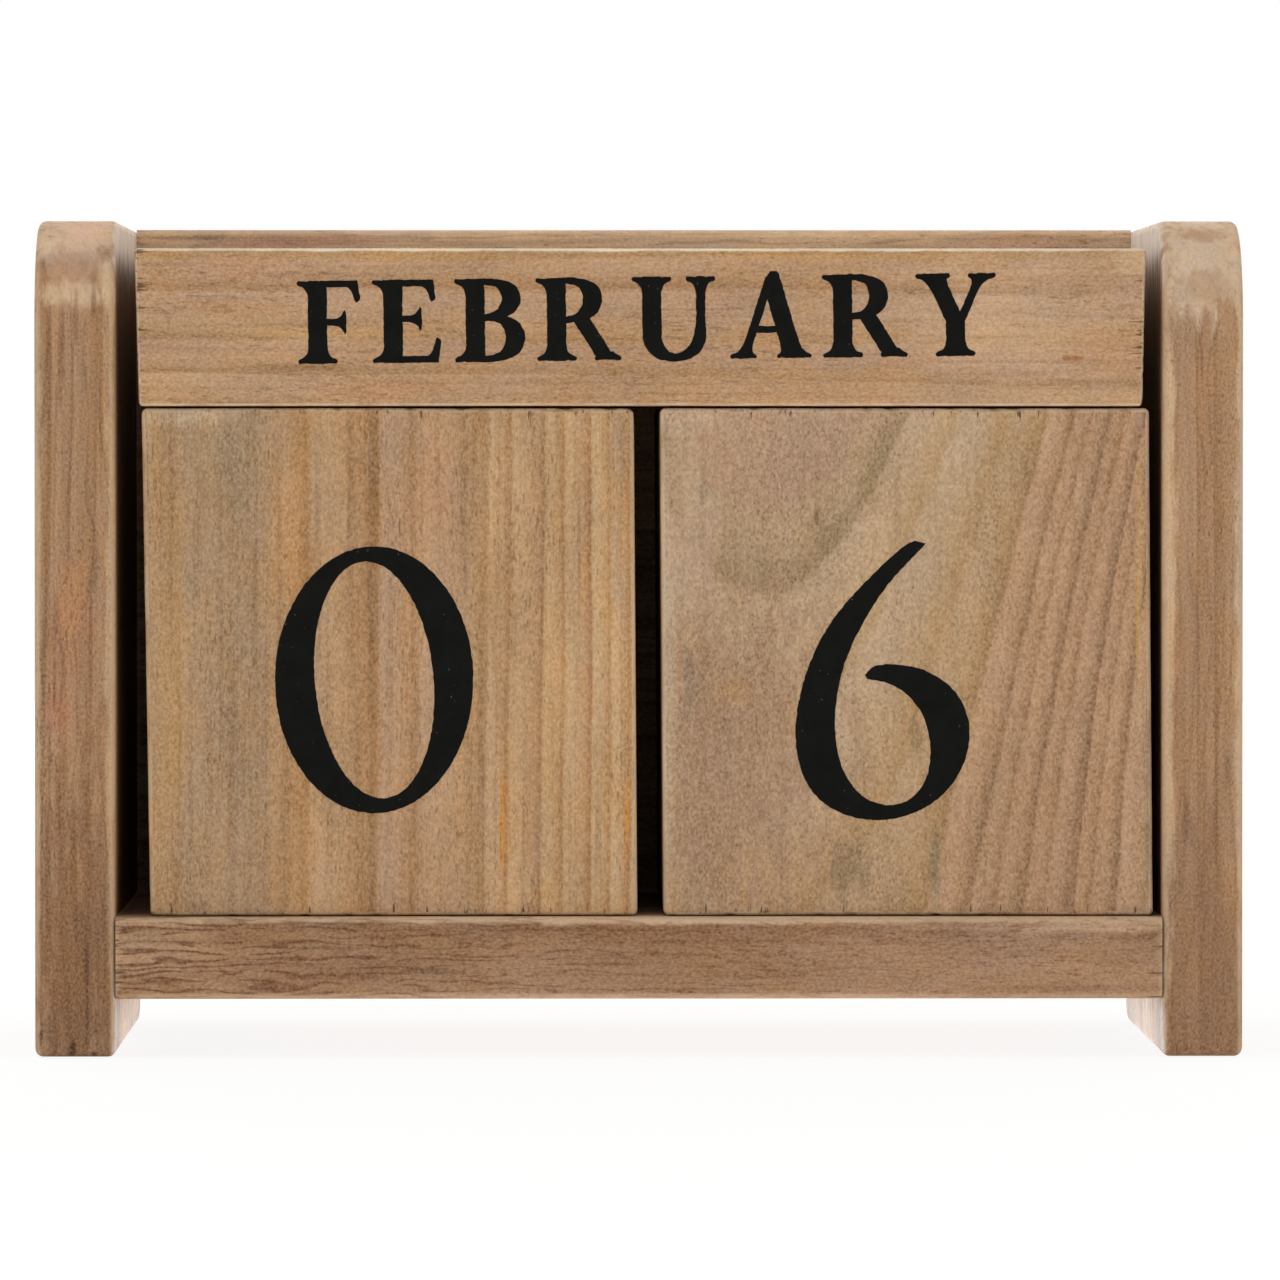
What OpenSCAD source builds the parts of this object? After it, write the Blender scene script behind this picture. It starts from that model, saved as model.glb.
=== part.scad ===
// Perpetual desk calendar: two number cubes and three month bars in an open wooden frame.
// X runs along the front, -Y faces the reader and Z is up. The origin is on the table, under
// the middle of the frame. All sizes are in millimetres.

/* [Number cubes] */
// Side of the square stock that both cubes are cut from
cube_side = 60.9; // [54:0.1:80]
// Height of a cube, along its grain
cube_height = 63.2; // [50:0.1:85]
// Radius along the four edges that follow a cube's grain
cube_edge_radius = 1.0; // [0.9:0.1:3]
// Radius sanded round a cube's two sawn ends
cube_end_ease = 0.6; // [0.2:0.1:0.8]
// Room between the left upright and the left cube
cube_left_gap = 3.7; // [0.5:0.1:6]
// Room between the two cubes
cube_middle_gap = 3.2; // [0.5:0.1:6]
// Room between the right cube and the right upright
cube_right_gap = 1.3; // [0.5:0.1:6]

/* [Month bars] */
// Side of a month bar's square section
bar_side = 19.6; // [14:0.1:21]
// Radius along a bar's four long edges
bar_ease = 0.5; // [0.2:0.1:2]
// Room between one bar and the next behind it
bar_spacing = 0.5; // [0.3:0.1:2]
// Room under the bars, over the cubes
bar_seam = 0.2; // [0.1:0.1:1]
// Room between the left upright and the bars
bar_left_gap = 2.6; // [0.5:0.1:6]
// Room between the bars and the right upright
bar_right_gap = 2.2; // [0.5:0.1:6]

/* [Frame] */
// Thickness of the two uprights
upright_thick = 10; // [8:0.5:18]
// Thickness of the shelf under the cubes
shelf_thick = 10.2; // [9:0.1:18]
// Thickness of the back board
back_thick = 10; // [9:0.5:18]
// Height of the shelf's underside above the table
foot_height = 7.2; // [3:0.1:20]
// Height of the uprights above the month bars
head_height = 3.6; // [2:0.1:20]
// Distance of the cubes and bars behind the frame's front
front_recess = 1.5; // [0:0.1:6]
// Room between the cubes and the back board
rear_gap = 1.6; // [0.5:0.1:8]

/* [Frame edges] */
// Radius of the uprights' upper front corner
head_front_radius = 13; // [3:0.5:20]
// Radius of the uprights' upper rear corner
head_rear_radius = 2; // [2:0.5:20]
// Radius of the uprights' lower front corner
foot_front_radius = 1.5; // [1.5:0.1:6]
// Radius of the uprights' lower rear corner
foot_rear_radius = 5; // [2:0.5:6]
// Radius sanded along the edges of the frame's boards
frame_ease = 1.0; // [0.3:0.1:1.4]

/* [Dowels] */
// Diameter of the dowels that join the boards
dowel_diameter = 6; // [4:0.5:7]
// Length of a dowel
dowel_length = 20; // [16:1:30]
// Chamfer at each end of a dowel
dowel_chamfer = 0.8; // [0.3:0.1:1.5]
// Wood left between a dowel's hole and the upright's outer face
dowel_wall = 2.8; // [2:0.1:4]
// Distance between the two dowels in each end of the shelf
shelf_dowel_spacing = 44; // [20:1:48]
// Distance between the two dowels in each end of the back board
back_dowel_spacing = 56; // [20:1:64]
// Room for glue round a dowel
dowel_side_clearance = 0.05; // [0.02:0.01:0.2]
// Room for glue at each end of a dowel
dowel_end_clearance = 0.3; // [0.1:0.1:1]

/* [Hidden] */
$fn = 64;

// Four sides to a bar and twelve months make three bars
bar_count = 3;
// Length that a cutting shape runs past what it cuts
cut_margin = 1;

frame_colour = "#967358";
cube_colour = "#B2916E";
bar_colour = "#B99470";
dowel_colour = "#D8BE94";

// Widths, from the left upright's outer face to the right one's
inner_width = cube_left_gap + cube_side + cube_middle_gap + cube_side + cube_right_gap;
frame_width = inner_width + 2 * upright_thick;
bar_length = inner_width - bar_left_gap - bar_right_gap;

// Depths, from the front of the frame to its back
bars_depth = bar_count * bar_side + (bar_count - 1) * bar_spacing;
stack_depth = max(cube_side, bars_depth);
frame_depth = front_recess + stack_depth + rear_gap + back_thick;
front_y = -frame_depth / 2;
rear_y = frame_depth / 2;

// Heights, from the table to the top of the uprights
shelf_top = foot_height + shelf_thick;
bars_bottom = shelf_top + cube_height + bar_seam;
frame_height = bars_bottom + bar_side + head_height;
back_height = frame_height - shelf_top;

// Dowels: how far each goes into an upright, and how far its holes go into both boards
dowel_in_upright = upright_thick - dowel_wall - dowel_end_clearance;
dowel_in_board = dowel_length - dowel_in_upright;
hole_diameter = dowel_diameter + 2 * dowel_side_clearance;
hole_length = dowel_length + 2 * dowel_end_clearance;
shelf_dowel_z = foot_height + shelf_thick / 2;
back_dowel_y = rear_y - back_thick / 2;
back_dowel_z = shelf_top + back_height / 2;

// ---- Shapes that the pieces share ----

// Rectangle centred on the origin, its corners rounded
module eased_rectangle(width, height, ease) {
    square([width - 2 * ease, height], center = true);
    square([width, height - 2 * ease], center = true);
    for (x = [-1, 1], y = [-1, 1])
        translate([x * (width / 2 - ease), y * (height / 2 - ease)])
            circle(r = ease);
}

// Quarter turn of a board's edge about the centre of one of its corners
module eased_corner(radius, thick, ease) {
    rotate_extrude(angle = 90)
        intersection() {
            eased_rectangle(2 * radius, thick, ease);
            translate([0, -thick / 2])
                square([radius, thick]);
        }
}

// Board lying on its face and centred on the origin, the edges of both faces eased.
// radii holds its four corner radii, anticlockwise from the lower left.
module eased_board(width, height, thick, ease, radii) {
    sides = [[-1, -1], [1, -1], [1, 1], [-1, 1]];
    difference() {
        intersection() {
            rotate([90, 0, 0])
                linear_extrude(height, center = true)
                    eased_rectangle(width, thick, ease);
            rotate([90, 0, 90])
                linear_extrude(width, center = true)
                    eased_rectangle(height, thick, ease);
        }
        for (i = [0:3])
            translate([sides[i].x * (width / 2 - radii[i]), sides[i].y * (height / 2 - radii[i])])
                rotate(180 + 90 * i)
                    translate([0, 0, -thick / 2 - cut_margin])
                        cube([radii[i] + cut_margin, radii[i] + cut_margin, thick + 2 * cut_margin]);
    }
    for (i = [0:3])
        translate([sides[i].x * (width / 2 - radii[i]), sides[i].y * (height / 2 - radii[i])])
            rotate(180 + 90 * i)
                eased_corner(radii[i], thick, ease);
}

// Places what follows at both dowels of a row that is spaced along Y or along Z
module at_shelf_dowels() {
    for (y = [-1, 1])
        translate([0, y * shelf_dowel_spacing / 2, shelf_dowel_z])
            children();
}

module at_back_dowels() {
    for (z = [-1, 1])
        translate([0, back_dowel_y, back_dowel_z + z * back_dowel_spacing / 2])
            children();
}

// Rod along X across the joint between an upright and a board, at the side given by -1 or 1
module across_joint(side, overhang) {
    translate([side * (inner_width / 2 - dowel_in_board - overhang), 0, 0])
        rotate([0, side * 90, 0])
            children();
}

// Dowel hole through the joint at one side
module dowel_hole(side) {
    across_joint(side, dowel_end_clearance)
        cylinder(d = hole_diameter, h = hole_length);
}

// Dowel with chamfered ends, set in the joint at one side
module dowel(side) {
    radius = dowel_diameter / 2;
    tip = radius - dowel_chamfer;
    across_joint(side, 0)
        rotate_extrude()
            polygon([
                [0, 0],
                [tip, 0],
                [radius, dowel_chamfer],
                [radius, dowel_length - dowel_chamfer],
                [tip, dowel_length],
                [0, dowel_length],
            ]);
}

// ---- Frame ----

// Upright at one side: rounded head and heel, with blind holes for four dowels
module upright(side) {
    difference() {
        translate([side * (frame_width - upright_thick) / 2, 0, frame_height / 2])
            rotate([90, 0, 90])
                eased_board(frame_depth, frame_height, upright_thick, frame_ease,
                    [foot_front_radius, foot_rear_radius, head_rear_radius, head_front_radius]);
        at_shelf_dowels() dowel_hole(side);
        at_back_dowels() dowel_hole(side);
    }
}

module left_upright() {
    color(frame_colour) upright(-1);
}

module right_upright() {
    color(frame_colour) upright(1);
}

// Shelf between the uprights, as deep as they are, its long edges eased and its ends square
module shelf() {
    color(frame_colour)
        difference() {
            translate([0, 0, foot_height + shelf_thick / 2])
                rotate([90, 0, 90])
                    linear_extrude(inner_width, center = true)
                        eased_rectangle(frame_depth, shelf_thick, frame_ease);
            for (side = [-1, 1])
                at_shelf_dowels() dowel_hole(side);
        }
}

// Back board standing on the shelf, flush with the uprights behind and above
module back_board() {
    color(frame_colour)
        difference() {
            translate([0, back_dowel_y, shelf_top + back_height / 2])
                rotate([90, 0, 90])
                    linear_extrude(inner_width, center = true) {
                        eased_rectangle(back_thick, back_height, frame_ease);
                        translate([0, -back_height / 4])
                            square([back_thick, back_height / 2], center = true);
                    }
            for (side = [-1, 1])
                at_back_dowels() dowel_hole(side);
        }
}

// Four dowels between the shelf and the uprights
module shelf_dowels() {
    color(dowel_colour)
        for (side = [-1, 1])
            at_shelf_dowels() dowel(side);
}

// Four dowels between the back board and the uprights
module back_dowels() {
    color(dowel_colour)
        for (side = [-1, 1])
            at_back_dowels() dowel(side);
}

// ---- Blocks that show the date ----

// Number cube standing on the shelf, with its left face at left_x
module number_cube(left_x) {
    cube_y = front_y + front_recess + cube_side / 2;
    translate([left_x + cube_side / 2, cube_y, shelf_top + cube_height / 2])
        eased_board(cube_side, cube_side, cube_height, cube_end_ease,
            [for (i = [0:3]) cube_edge_radius]);
}

module left_number_cube() {
    color(cube_colour) number_cube(-inner_width / 2 + cube_left_gap);
}

module right_number_cube() {
    color(cube_colour) number_cube(inner_width / 2 - cube_right_gap - cube_side);
}

// Month bar over the cubes: place 0 is the front one, which shows the month
module month_bar(place) {
    bar_y = front_y + front_recess + bar_side / 2 + place * (bar_side + bar_spacing);
    translate([(bar_left_gap - bar_right_gap) / 2, bar_y, bars_bottom + bar_side / 2])
        rotate([90, 0, 90])
            linear_extrude(bar_length, center = true)
                eased_rectangle(bar_side, bar_side, bar_ease);
}

module front_month_bar() {
    color(bar_colour) month_bar(0);
}

module middle_month_bar() {
    color(bar_colour) month_bar(1);
}

module rear_month_bar() {
    color(bar_colour) month_bar(2);
}

left_upright();
right_upright();
shelf();
back_board();
shelf_dowels();
back_dowels();
left_number_cube();
right_number_cube();
front_month_bar();
middle_month_bar();
rear_month_bar();
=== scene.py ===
"""Looks of a wooden perpetual desk calendar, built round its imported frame.

Two number cubes stand on the shelf of an open frame and three month bars lie on them. Every
piece is in metres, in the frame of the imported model: X runs along the front, -Y faces the
reader and Z is up. Sizes named in millimetres are turned into metres where a mesh is made.
"""

import logging
import math
from abc import ABC, abstractmethod
from dataclasses import dataclass, replace
from enum import Enum
from typing import Any, ClassVar, Dict, Iterable, List, Optional, Sequence, Tuple

import bmesh
import bpy
from mathutils import Matrix, Vector, noise
from mathutils.geometry import delaunay_2d_cdt


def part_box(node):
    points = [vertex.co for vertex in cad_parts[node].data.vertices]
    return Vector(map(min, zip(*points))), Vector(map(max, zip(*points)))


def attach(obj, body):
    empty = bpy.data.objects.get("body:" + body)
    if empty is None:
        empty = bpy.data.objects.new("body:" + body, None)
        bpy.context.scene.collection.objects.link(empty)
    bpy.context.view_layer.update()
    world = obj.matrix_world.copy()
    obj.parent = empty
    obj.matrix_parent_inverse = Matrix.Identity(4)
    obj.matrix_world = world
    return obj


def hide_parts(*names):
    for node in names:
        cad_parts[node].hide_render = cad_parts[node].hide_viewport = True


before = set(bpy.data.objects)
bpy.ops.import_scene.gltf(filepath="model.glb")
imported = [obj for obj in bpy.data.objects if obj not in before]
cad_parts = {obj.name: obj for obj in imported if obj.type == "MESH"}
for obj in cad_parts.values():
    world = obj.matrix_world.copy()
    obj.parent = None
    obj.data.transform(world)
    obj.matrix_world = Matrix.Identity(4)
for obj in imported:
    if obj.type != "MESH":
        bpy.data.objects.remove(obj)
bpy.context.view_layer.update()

LOG = logging.getLogger("desk_calendar")
MM = 0.001
X_AXIS, Y_AXIS, Z_AXIS = Vector((1, 0, 0)), Vector((0, 1, 0)), Vector((0, 0, 1))

Point = Tuple[float, float]
Place = Tuple[float, float, float]
Outline = List[Point]
Piece = bpy.types.Object
Socket = bpy.types.NodeSocket
Tree = bpy.types.NodeTree


# ---- Colours and nodes ----

# Settings that many nodes share.
ADD, SUBTRACT, MULTIPLY, MULTIPLY_ADD, SCALE, LENGTH, MINIMUM, MAXIMUM = [
    {"operation": name} for name in ("ADD", "SUBTRACT", "MULTIPLY", "MULTIPLY_ADD", "SCALE",
                                     "LENGTH", "MINIMUM", "MAXIMUM")]
COLOURS = {"data_type": "RGBA"}
SMOOTH = {"interpolation_type": "SMOOTHSTEP"}


def linear(hex_colour: str) -> Tuple[float, float, float, float]:
    """Turns an sRGB hex colour into the linear values that shaders take.

    Args:
        hex_colour: colour such as "#B08D6B".

    Returns:
        Linear red, green, blue and an alpha of 1.
    """
    channels = [int(hex_colour[i:i + 2], 16) / 255 for i in (1, 3, 5)]
    values = [c / 12.92 if c <= 0.04045 else ((c + 0.055) / 1.055) ** 2.4 for c in channels]
    return (values[0], values[1], values[2], 1.0)


def add_node(tree: Tree, kind: str, settings: Optional[Dict[str, Any]] = None,
             inputs: Optional[Dict[Any, Any]] = None, out: Any = 0,
             stops: Sequence[Tuple[float, Sequence[float]]] = (),
             blend: str = "LINEAR") -> Socket:
    """Adds one node with its settings and links.

    Args:
        tree: node tree that takes the node.
        kind: Blender's name for the node after "ShaderNode", such as "Math".
        settings: properties of the node, by name.
        inputs: values or output sockets for the node's inputs, by index or name.
        out: index or name of the output that is wanted.
        stops: position and colour of each stop, for a colour ramp.
        blend: how the ramp blends from stop to stop.

    Returns:
        The wanted output socket of the new node.
    """
    node = tree.nodes.new("ShaderNode" + kind)
    for name, value in (settings or {}).items():
        setattr(node, name, value)
    for key, value in (inputs or {}).items():
        if isinstance(value, Socket):
            tree.links.new(value, node.inputs[key])
        else:
            node.inputs[key].default_value = value
    for place, (position, colour) in enumerate(stops):
        elements = node.color_ramp.elements
        element = elements[place] if place < 2 else elements.new(position)
        element.position = position
        element.color = (*colour[:3], 1.0)
    if stops:
        node.color_ramp.interpolation = blend
    return node.outputs[out] if node.outputs else node.inputs[0]


def new_material(name: str) -> Tuple[bpy.types.Material, Tree]:
    """Makes an empty node material.

    Args:
        name: name of the material.

    Returns:
        The material and its node tree, which holds no node yet.
    """
    material = bpy.data.materials.new(name)
    material.use_nodes = True
    material.node_tree.nodes.clear()
    return material, material.node_tree


# ---- Finishes ----


class Grain(Enum):
    """Direction that a piece's grain runs in, with the turn that brings it upright."""

    UPRIGHT = (0.0, 0.0, 0.0)
    ALONG_FRONT = (0.0, -math.pi / 2, 0.0)


@dataclass(frozen=True)
class Ring:
    """One growth ring: its width in millimetres, its colours and how dark its edge is."""

    width: float
    early: str
    late: str
    line: float = 0.5


@dataclass(frozen=True)
class Mark:
    """Soft stain, resin streak, crack or rubbed place in a board.

    middle and reach are in millimetres from the piece's middle, along the piece's own axes.
    """

    middle: Place
    reach: Place
    colour: str
    amount: float = 0.5


@dataclass(frozen=True)
class Palette:
    """Colours that a timber has beside its rings: ring edges, pores and sanded edges."""

    line: str
    fleck: str
    worn: str


@dataclass(frozen=True)
class Board:
    """Board that a material covers: its node tree, each point's place and half its size.

    place starts at the board's middle. Both are in millimetres and have the grain along Z.
    """

    tree: Tree
    place: Socket
    half: Vector


@dataclass(frozen=True)
class Pattern:
    """Noise whose features have a real size in millimetres, across and along the grain.

    octaves adds finer noise to it, and salt makes it differ from the others.
    """

    across: float
    along: float
    octaves: float
    salt: float


# A trunk grows a little askew over a hand's length, and its fibres wave over a thumb's.
WANDER = Pattern(22.0, 90.0, 1.0, 1.0)
RIPPLE = Pattern(2.6, 26.0, 3.0, 2.0)
# The wash dries in blotches of about a centimetre, and its hue turns in smaller ones.
BLOTCH = Pattern(7.0, 20.0, 3.0, 3.0)
HUE = Pattern(3.5, 9.0, 2.0, 12.0)
# Brushing leaves long hollows under a millimetre wide.
STREAK = Pattern(0.8, 30.0, 3.0, 4.0)
# Flecks crowd in some regions of a board and leave others clear.
FLECK_REGION = Pattern(7.0, 30.0, 1.0, 7.0)
# Resin canals are 0.15 mm wide, too fine to show, so flecks are drawn twice as wide.
FLECK_WIDTH = 0.3
# Fibres are 0.04 mm wide, too fine to show, so the grit of their ends is drawn at 0.3 mm.
GRIT = Pattern(0.3, 0.42, 2.0, 8.0)
# Sandpaper rubs an edge in patches of a few millimetres.
SCUFF = Pattern(1.4, 4.0, 3.0, 9.0)
# A saw tears bundles of fibres, under half a millimetre wide, out of an end.
TEAR = Pattern(0.42, 9.0, 2.0, 10.0)
# The rims of stains and streaks fray along the grain.
FRAY = Pattern(1.3, 5.0, 3.0, 11.0)

GRIT_DUST = "#AA9782"
DARKEST_PORE = "#2A1D14"
TORN_FIBRE = "#4A3526"


@dataclass(frozen=True)
class Timber:
    """Pine that was sawn, brushed along the grain, washed with a thin stain and left matt.

    Brushing takes out soft early wood, so the surface is dull and finely ribbed. The wash
    stays in the pores as short dark flecks, and sanding takes it off the edges again, but
    not off a large round over a board's head.

    Sizes are in millimetres, and what has no size is a strength, mostly from 0 to 1. The
    pith lies at pith across the grain, leans and bows along it, and the innermost ring
    starts at first_radius from it. wander and ripple are how far the rings stray. Veins
    weaken by vein_fade towards the board's far end. Their width and bend are shares of the
    gap between them, and vein_wave is the length of their waves.
    """

    name: str
    palette: Palette
    rings: Tuple[Ring, ...]
    marks: Tuple[Mark, ...] = ()
    grain: Grain = Grain.UPRIGHT
    first_radius: float = 30.0
    pith: Point = (-60.0, -40.0)
    pith_lean: Point = (0.0, 0.0)
    pith_bow: float = 0.0
    wander: float = 1.6
    ripple: float = 0.35
    streak: float = 0.35
    vein: float = 0.0
    vein_fade: float = 0.0
    vein_gap: float = 1.7
    vein_width: float = 0.26
    vein_wave: float = 26.0
    vein_bend: float = 3.2
    fleck: float = 0.4
    fleck_length: float = 1.5
    grit: float = 0.15
    blotch: float = 0.35
    tint: float = 0.03
    wear_width: float = 0.9
    wear: float = 0.5
    rounded_head: bool = False
    end_gain: float = 0.86
    torn: float = 0.7
    torn_length: float = 2.2
    seed: float = 0.0
    roughness: float = 0.72
    ribbing: float = 0.12

    def build(self, low: Vector, high: Vector) -> bpy.types.Material:
        """Makes the material for a piece that fills the given box.

        Args:
            low: lowest corner of the piece, in metres.
            high: highest corner of the piece, in metres.

        Returns:
            The finished material.
        """
        material, tree = new_material(self.name)
        board = Board(tree, self._place_in_board(tree, (low + high) / 2),
                      self._turned((high - low) / 2 / MM))
        colour = self._marked(board, self._ring_colour(tree, self._rings(board)))
        colour, relief = self._fibres(board, self._washed(board, colour))
        colour = self._edges(board, colour)
        bump = add_node(tree, "Bump", inputs={
            "Strength": 0.4, "Distance": self.ribbing * MM, "Height": relief})
        shine = add_node(tree, "MapRange", inputs={
            "Value": relief, "From Min": 0.2, "From Max": 0.8,
            "To Min": self.roughness + 0.08, "To Max": self.roughness - 0.05})
        shader = add_node(tree, "BsdfPrincipled", inputs={
            "Base Color": colour, "Roughness": shine, "Normal": bump, "IOR": 1.47,
            "Specular IOR Level": 0.22})
        add_node(tree, "OutputMaterial", inputs={"Surface": shader})
        return material

    def _turned(self, size: Sequence[float]) -> Vector:
        """Turns a size along the piece's axes into one along the board's axes."""
        turned = Matrix.Rotation(self.grain.value[1], 3, "Y") @ Vector(size)
        return Vector([abs(side) for side in turned])

    def _place_in_board(self, tree: Tree, middle: Vector) -> Socket:
        """Gives each point its place in millimetres from the piece's middle, grain along Z.

        Args:
            tree: node tree of the material.
            middle: middle of the piece, in metres.

        Returns:
            Socket with the place in the board.
        """
        coords = add_node(tree, "TexCoord", out="Object")
        centred = add_node(tree, "VectorMath", SUBTRACT, {0: coords, 1: middle})
        return add_node(tree, "Mapping", inputs={
            "Vector": centred, "Rotation": self.grain.value, "Scale": (1 / MM, 1 / MM, 1 / MM)})

    def _noise(self, board: Board, pattern: Pattern, out: str = "Fac") -> Socket:
        """Adds noise with features of a real size, which differs from board to board.

        Args:
            board: board that the material covers.
            pattern: size of the noise's features.
            out: output that is wanted, "Fac" or "Color".

        Returns:
            Socket with the noise.
        """
        shift = 17.0 * (self.seed + pattern.salt)
        scaled = add_node(board.tree, "Mapping", inputs={
            "Vector": board.place, "Location": (shift, shift * 0.7, shift * 1.3),
            "Scale": (1 / pattern.across, 1 / pattern.across, 1 / pattern.along)})
        return add_node(board.tree, "TexNoise", inputs={
            "Vector": scaled, "Scale": 1.0, "Detail": pattern.octaves, "Roughness": 0.55},
            out=out)

    def _rings(self, board: Board) -> Socket:
        """Works out how far out each point lies among the growth rings.

        The pith may lean and bow, which bends the rings into arches on a flat face.

        Args:
            board: board that the material covers.

        Returns:
            Socket with 0 at the innermost ring's start and 1 at the outermost ring's edge.
        """
        tree, place = board.tree, board.place
        slow = self._noise(board, WANDER, "Color")
        quick = self._noise(board, RIPPLE, "Color")
        height = add_node(tree, "SeparateXYZ", inputs={0: place}, out="Z")
        square = add_node(tree, "Math", MULTIPLY, {0: height, 1: height})
        bow = add_node(tree, "Math", MULTIPLY, {0: square, 1: self.pith_bow})
        pith_x = add_node(tree, "Math", MULTIPLY_ADD, {0: height, 1: self.pith_lean[0], 2: bow})
        pith_y = add_node(tree, "Math", MULTIPLY, {0: height, 1: self.pith_lean[1]})
        lean = add_node(tree, "CombineXYZ", inputs={0: pith_x, 1: pith_y, 2: height})
        from_lean = add_node(tree, "VectorMath", SUBTRACT, {0: place, 1: lean})
        slow_warp = add_node(tree, "VectorMath", MULTIPLY_ADD, {
            0: slow, 1: (2 * self.wander, 2 * self.wander, 0.0), 2: from_lean})
        warped = add_node(tree, "VectorMath", MULTIPLY_ADD, {
            0: quick, 1: (2 * self.ripple, 2 * self.ripple, 0.0), 2: slow_warp})
        centre = self.wander + self.ripple
        out_of_pith = add_node(tree, "VectorMath", SUBTRACT, {
            0: warped, 1: (self.pith[0] + centre, self.pith[1] + centre, 0.0)})
        radius = add_node(tree, "VectorMath", LENGTH, {0: out_of_pith}, out="Value")
        last_radius = self.first_radius + sum(ring.width for ring in self.rings)
        wrapped = add_node(tree, "Math", {"operation": "WRAP"}, {
            0: radius, 1: last_radius, 2: self.first_radius})
        return add_node(tree, "MapRange", inputs={
            "Value": wrapped, "From Min": self.first_radius, "From Max": last_radius})

    def _ring_colour(self, tree: Tree, share: Socket) -> Socket:
        """Colours the rings from their soft early wood to their dark edges.

        Args:
            tree: node tree of the material.
            share: share of all the rings that lies inside each point.

        Returns:
            Socket with the timber's colour before its marks and fibres.
        """
        total = sum(ring.width for ring in self.rings)
        ripe_stops, early_stops, late_stops = [], [], []
        start = 0.0
        for ring in self.rings:
            width = ring.width / total
            fading = start + 0.14 * width
            ripe_stops.append((fading, (0.0, ring.line, 0.0)))
            ripe_stops.append((start + 0.99 * width, (1.0, ring.line, 0.0)))
            early_stops.append((start, linear(ring.early)))
            late_stops.append((fading, linear(ring.late)))
            start += width
        teeth = add_node(tree, "ValToRGB", inputs={"Fac": share}, stops=ripe_stops, blend="EASE")
        early = add_node(tree, "ValToRGB", inputs={"Fac": share}, stops=early_stops,
                         blend="CONSTANT")
        late = add_node(tree, "ValToRGB", inputs={"Fac": share}, stops=late_stops,
                        blend="CONSTANT")
        ripe, line, _ = add_node(tree, "SeparateColor", inputs={0: teeth}).node.outputs
        ripening = add_node(tree, "Math", {"operation": "POWER"}, {0: ripe, 1: 1.6})
        body = add_node(tree, "Mix", COLOURS, {0: ripening, 6: early, 7: late}, out=2)
        edge = add_node(tree, "MapRange", SMOOTH, {
            "Value": ripe, "From Min": 0.88, "From Max": 1.0, "To Max": line})
        return add_node(tree, "Mix", COLOURS, {
            0: edge, 6: body, 7: linear(self.palette.line)}, out=2)

    def _marked(self, board: Board, colour: Socket) -> Socket:
        """Lays the board's marks over its rings.

        Args:
            board: board that the material covers.
            colour: colour of the rings.

        Returns:
            Socket with the marked colour.
        """
        tree = board.tree
        ragged = self._noise(board, FRAY)
        turn = Matrix.Rotation(self.grain.value[1], 3, "Y")
        for mark in self.marks:
            reach = self._turned(mark.reach)
            offset = add_node(tree, "VectorMath", SUBTRACT,
                              {0: board.place, 1: turn @ Vector(mark.middle)})
            shares = add_node(tree, "VectorMath", MULTIPLY,
                              {0: offset, 1: (1 / reach.x, 1 / reach.y, 1 / reach.z)})
            distance = add_node(tree, "VectorMath", LENGTH, {0: shares}, out="Value")
            uneven = add_node(tree, "Math", MULTIPLY_ADD, {0: ragged, 1: 1.8, 2: distance})
            mask = add_node(tree, "MapRange", SMOOTH, {
                "Value": uneven, "From Min": 2.15, "From Max": 1.25, "To Max": mark.amount})
            colour = add_node(tree, "Mix", COLOURS, {
                0: mask, 6: colour, 7: linear(mark.colour)}, out=2)
        return colour

    def _washed(self, board: Board, colour: Socket) -> Socket:
        """Lays the wash on, which dries in blotches and runs warm and cool.

        Args:
            board: board that the material covers.
            colour: colour of the rings and marks.

        Returns:
            Socket with the washed colour.
        """
        tree = board.tree
        swing = 0.3 * self.blotch
        blotch = self._noise(board, BLOTCH)
        blotch_gain = add_node(tree, "MapRange", inputs={
            "Value": blotch, "From Min": 0.3, "From Max": 0.7,
            "To Min": 1 - swing, "To Max": 1 + swing})
        blotched = add_node(tree, "VectorMath", SCALE, {0: colour, "Scale": blotch_gain})
        hue = self._noise(board, HUE)
        hue_share = add_node(tree, "MapRange", inputs={
            "Value": hue, "From Min": 0.35, "From Max": 0.65})
        blue = 2.2 * self.tint
        tint_gain = add_node(tree, "Mix", COLOURS, {
            0: hue_share, 6: (1 + self.tint, 1.0, 1 - blue, 1.0),
            7: (1 - self.tint, 1.0, 1 + blue, 1.0)}, out=2)
        return add_node(tree, "VectorMath", MULTIPLY, {0: blotched, 1: tint_gain})

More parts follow.
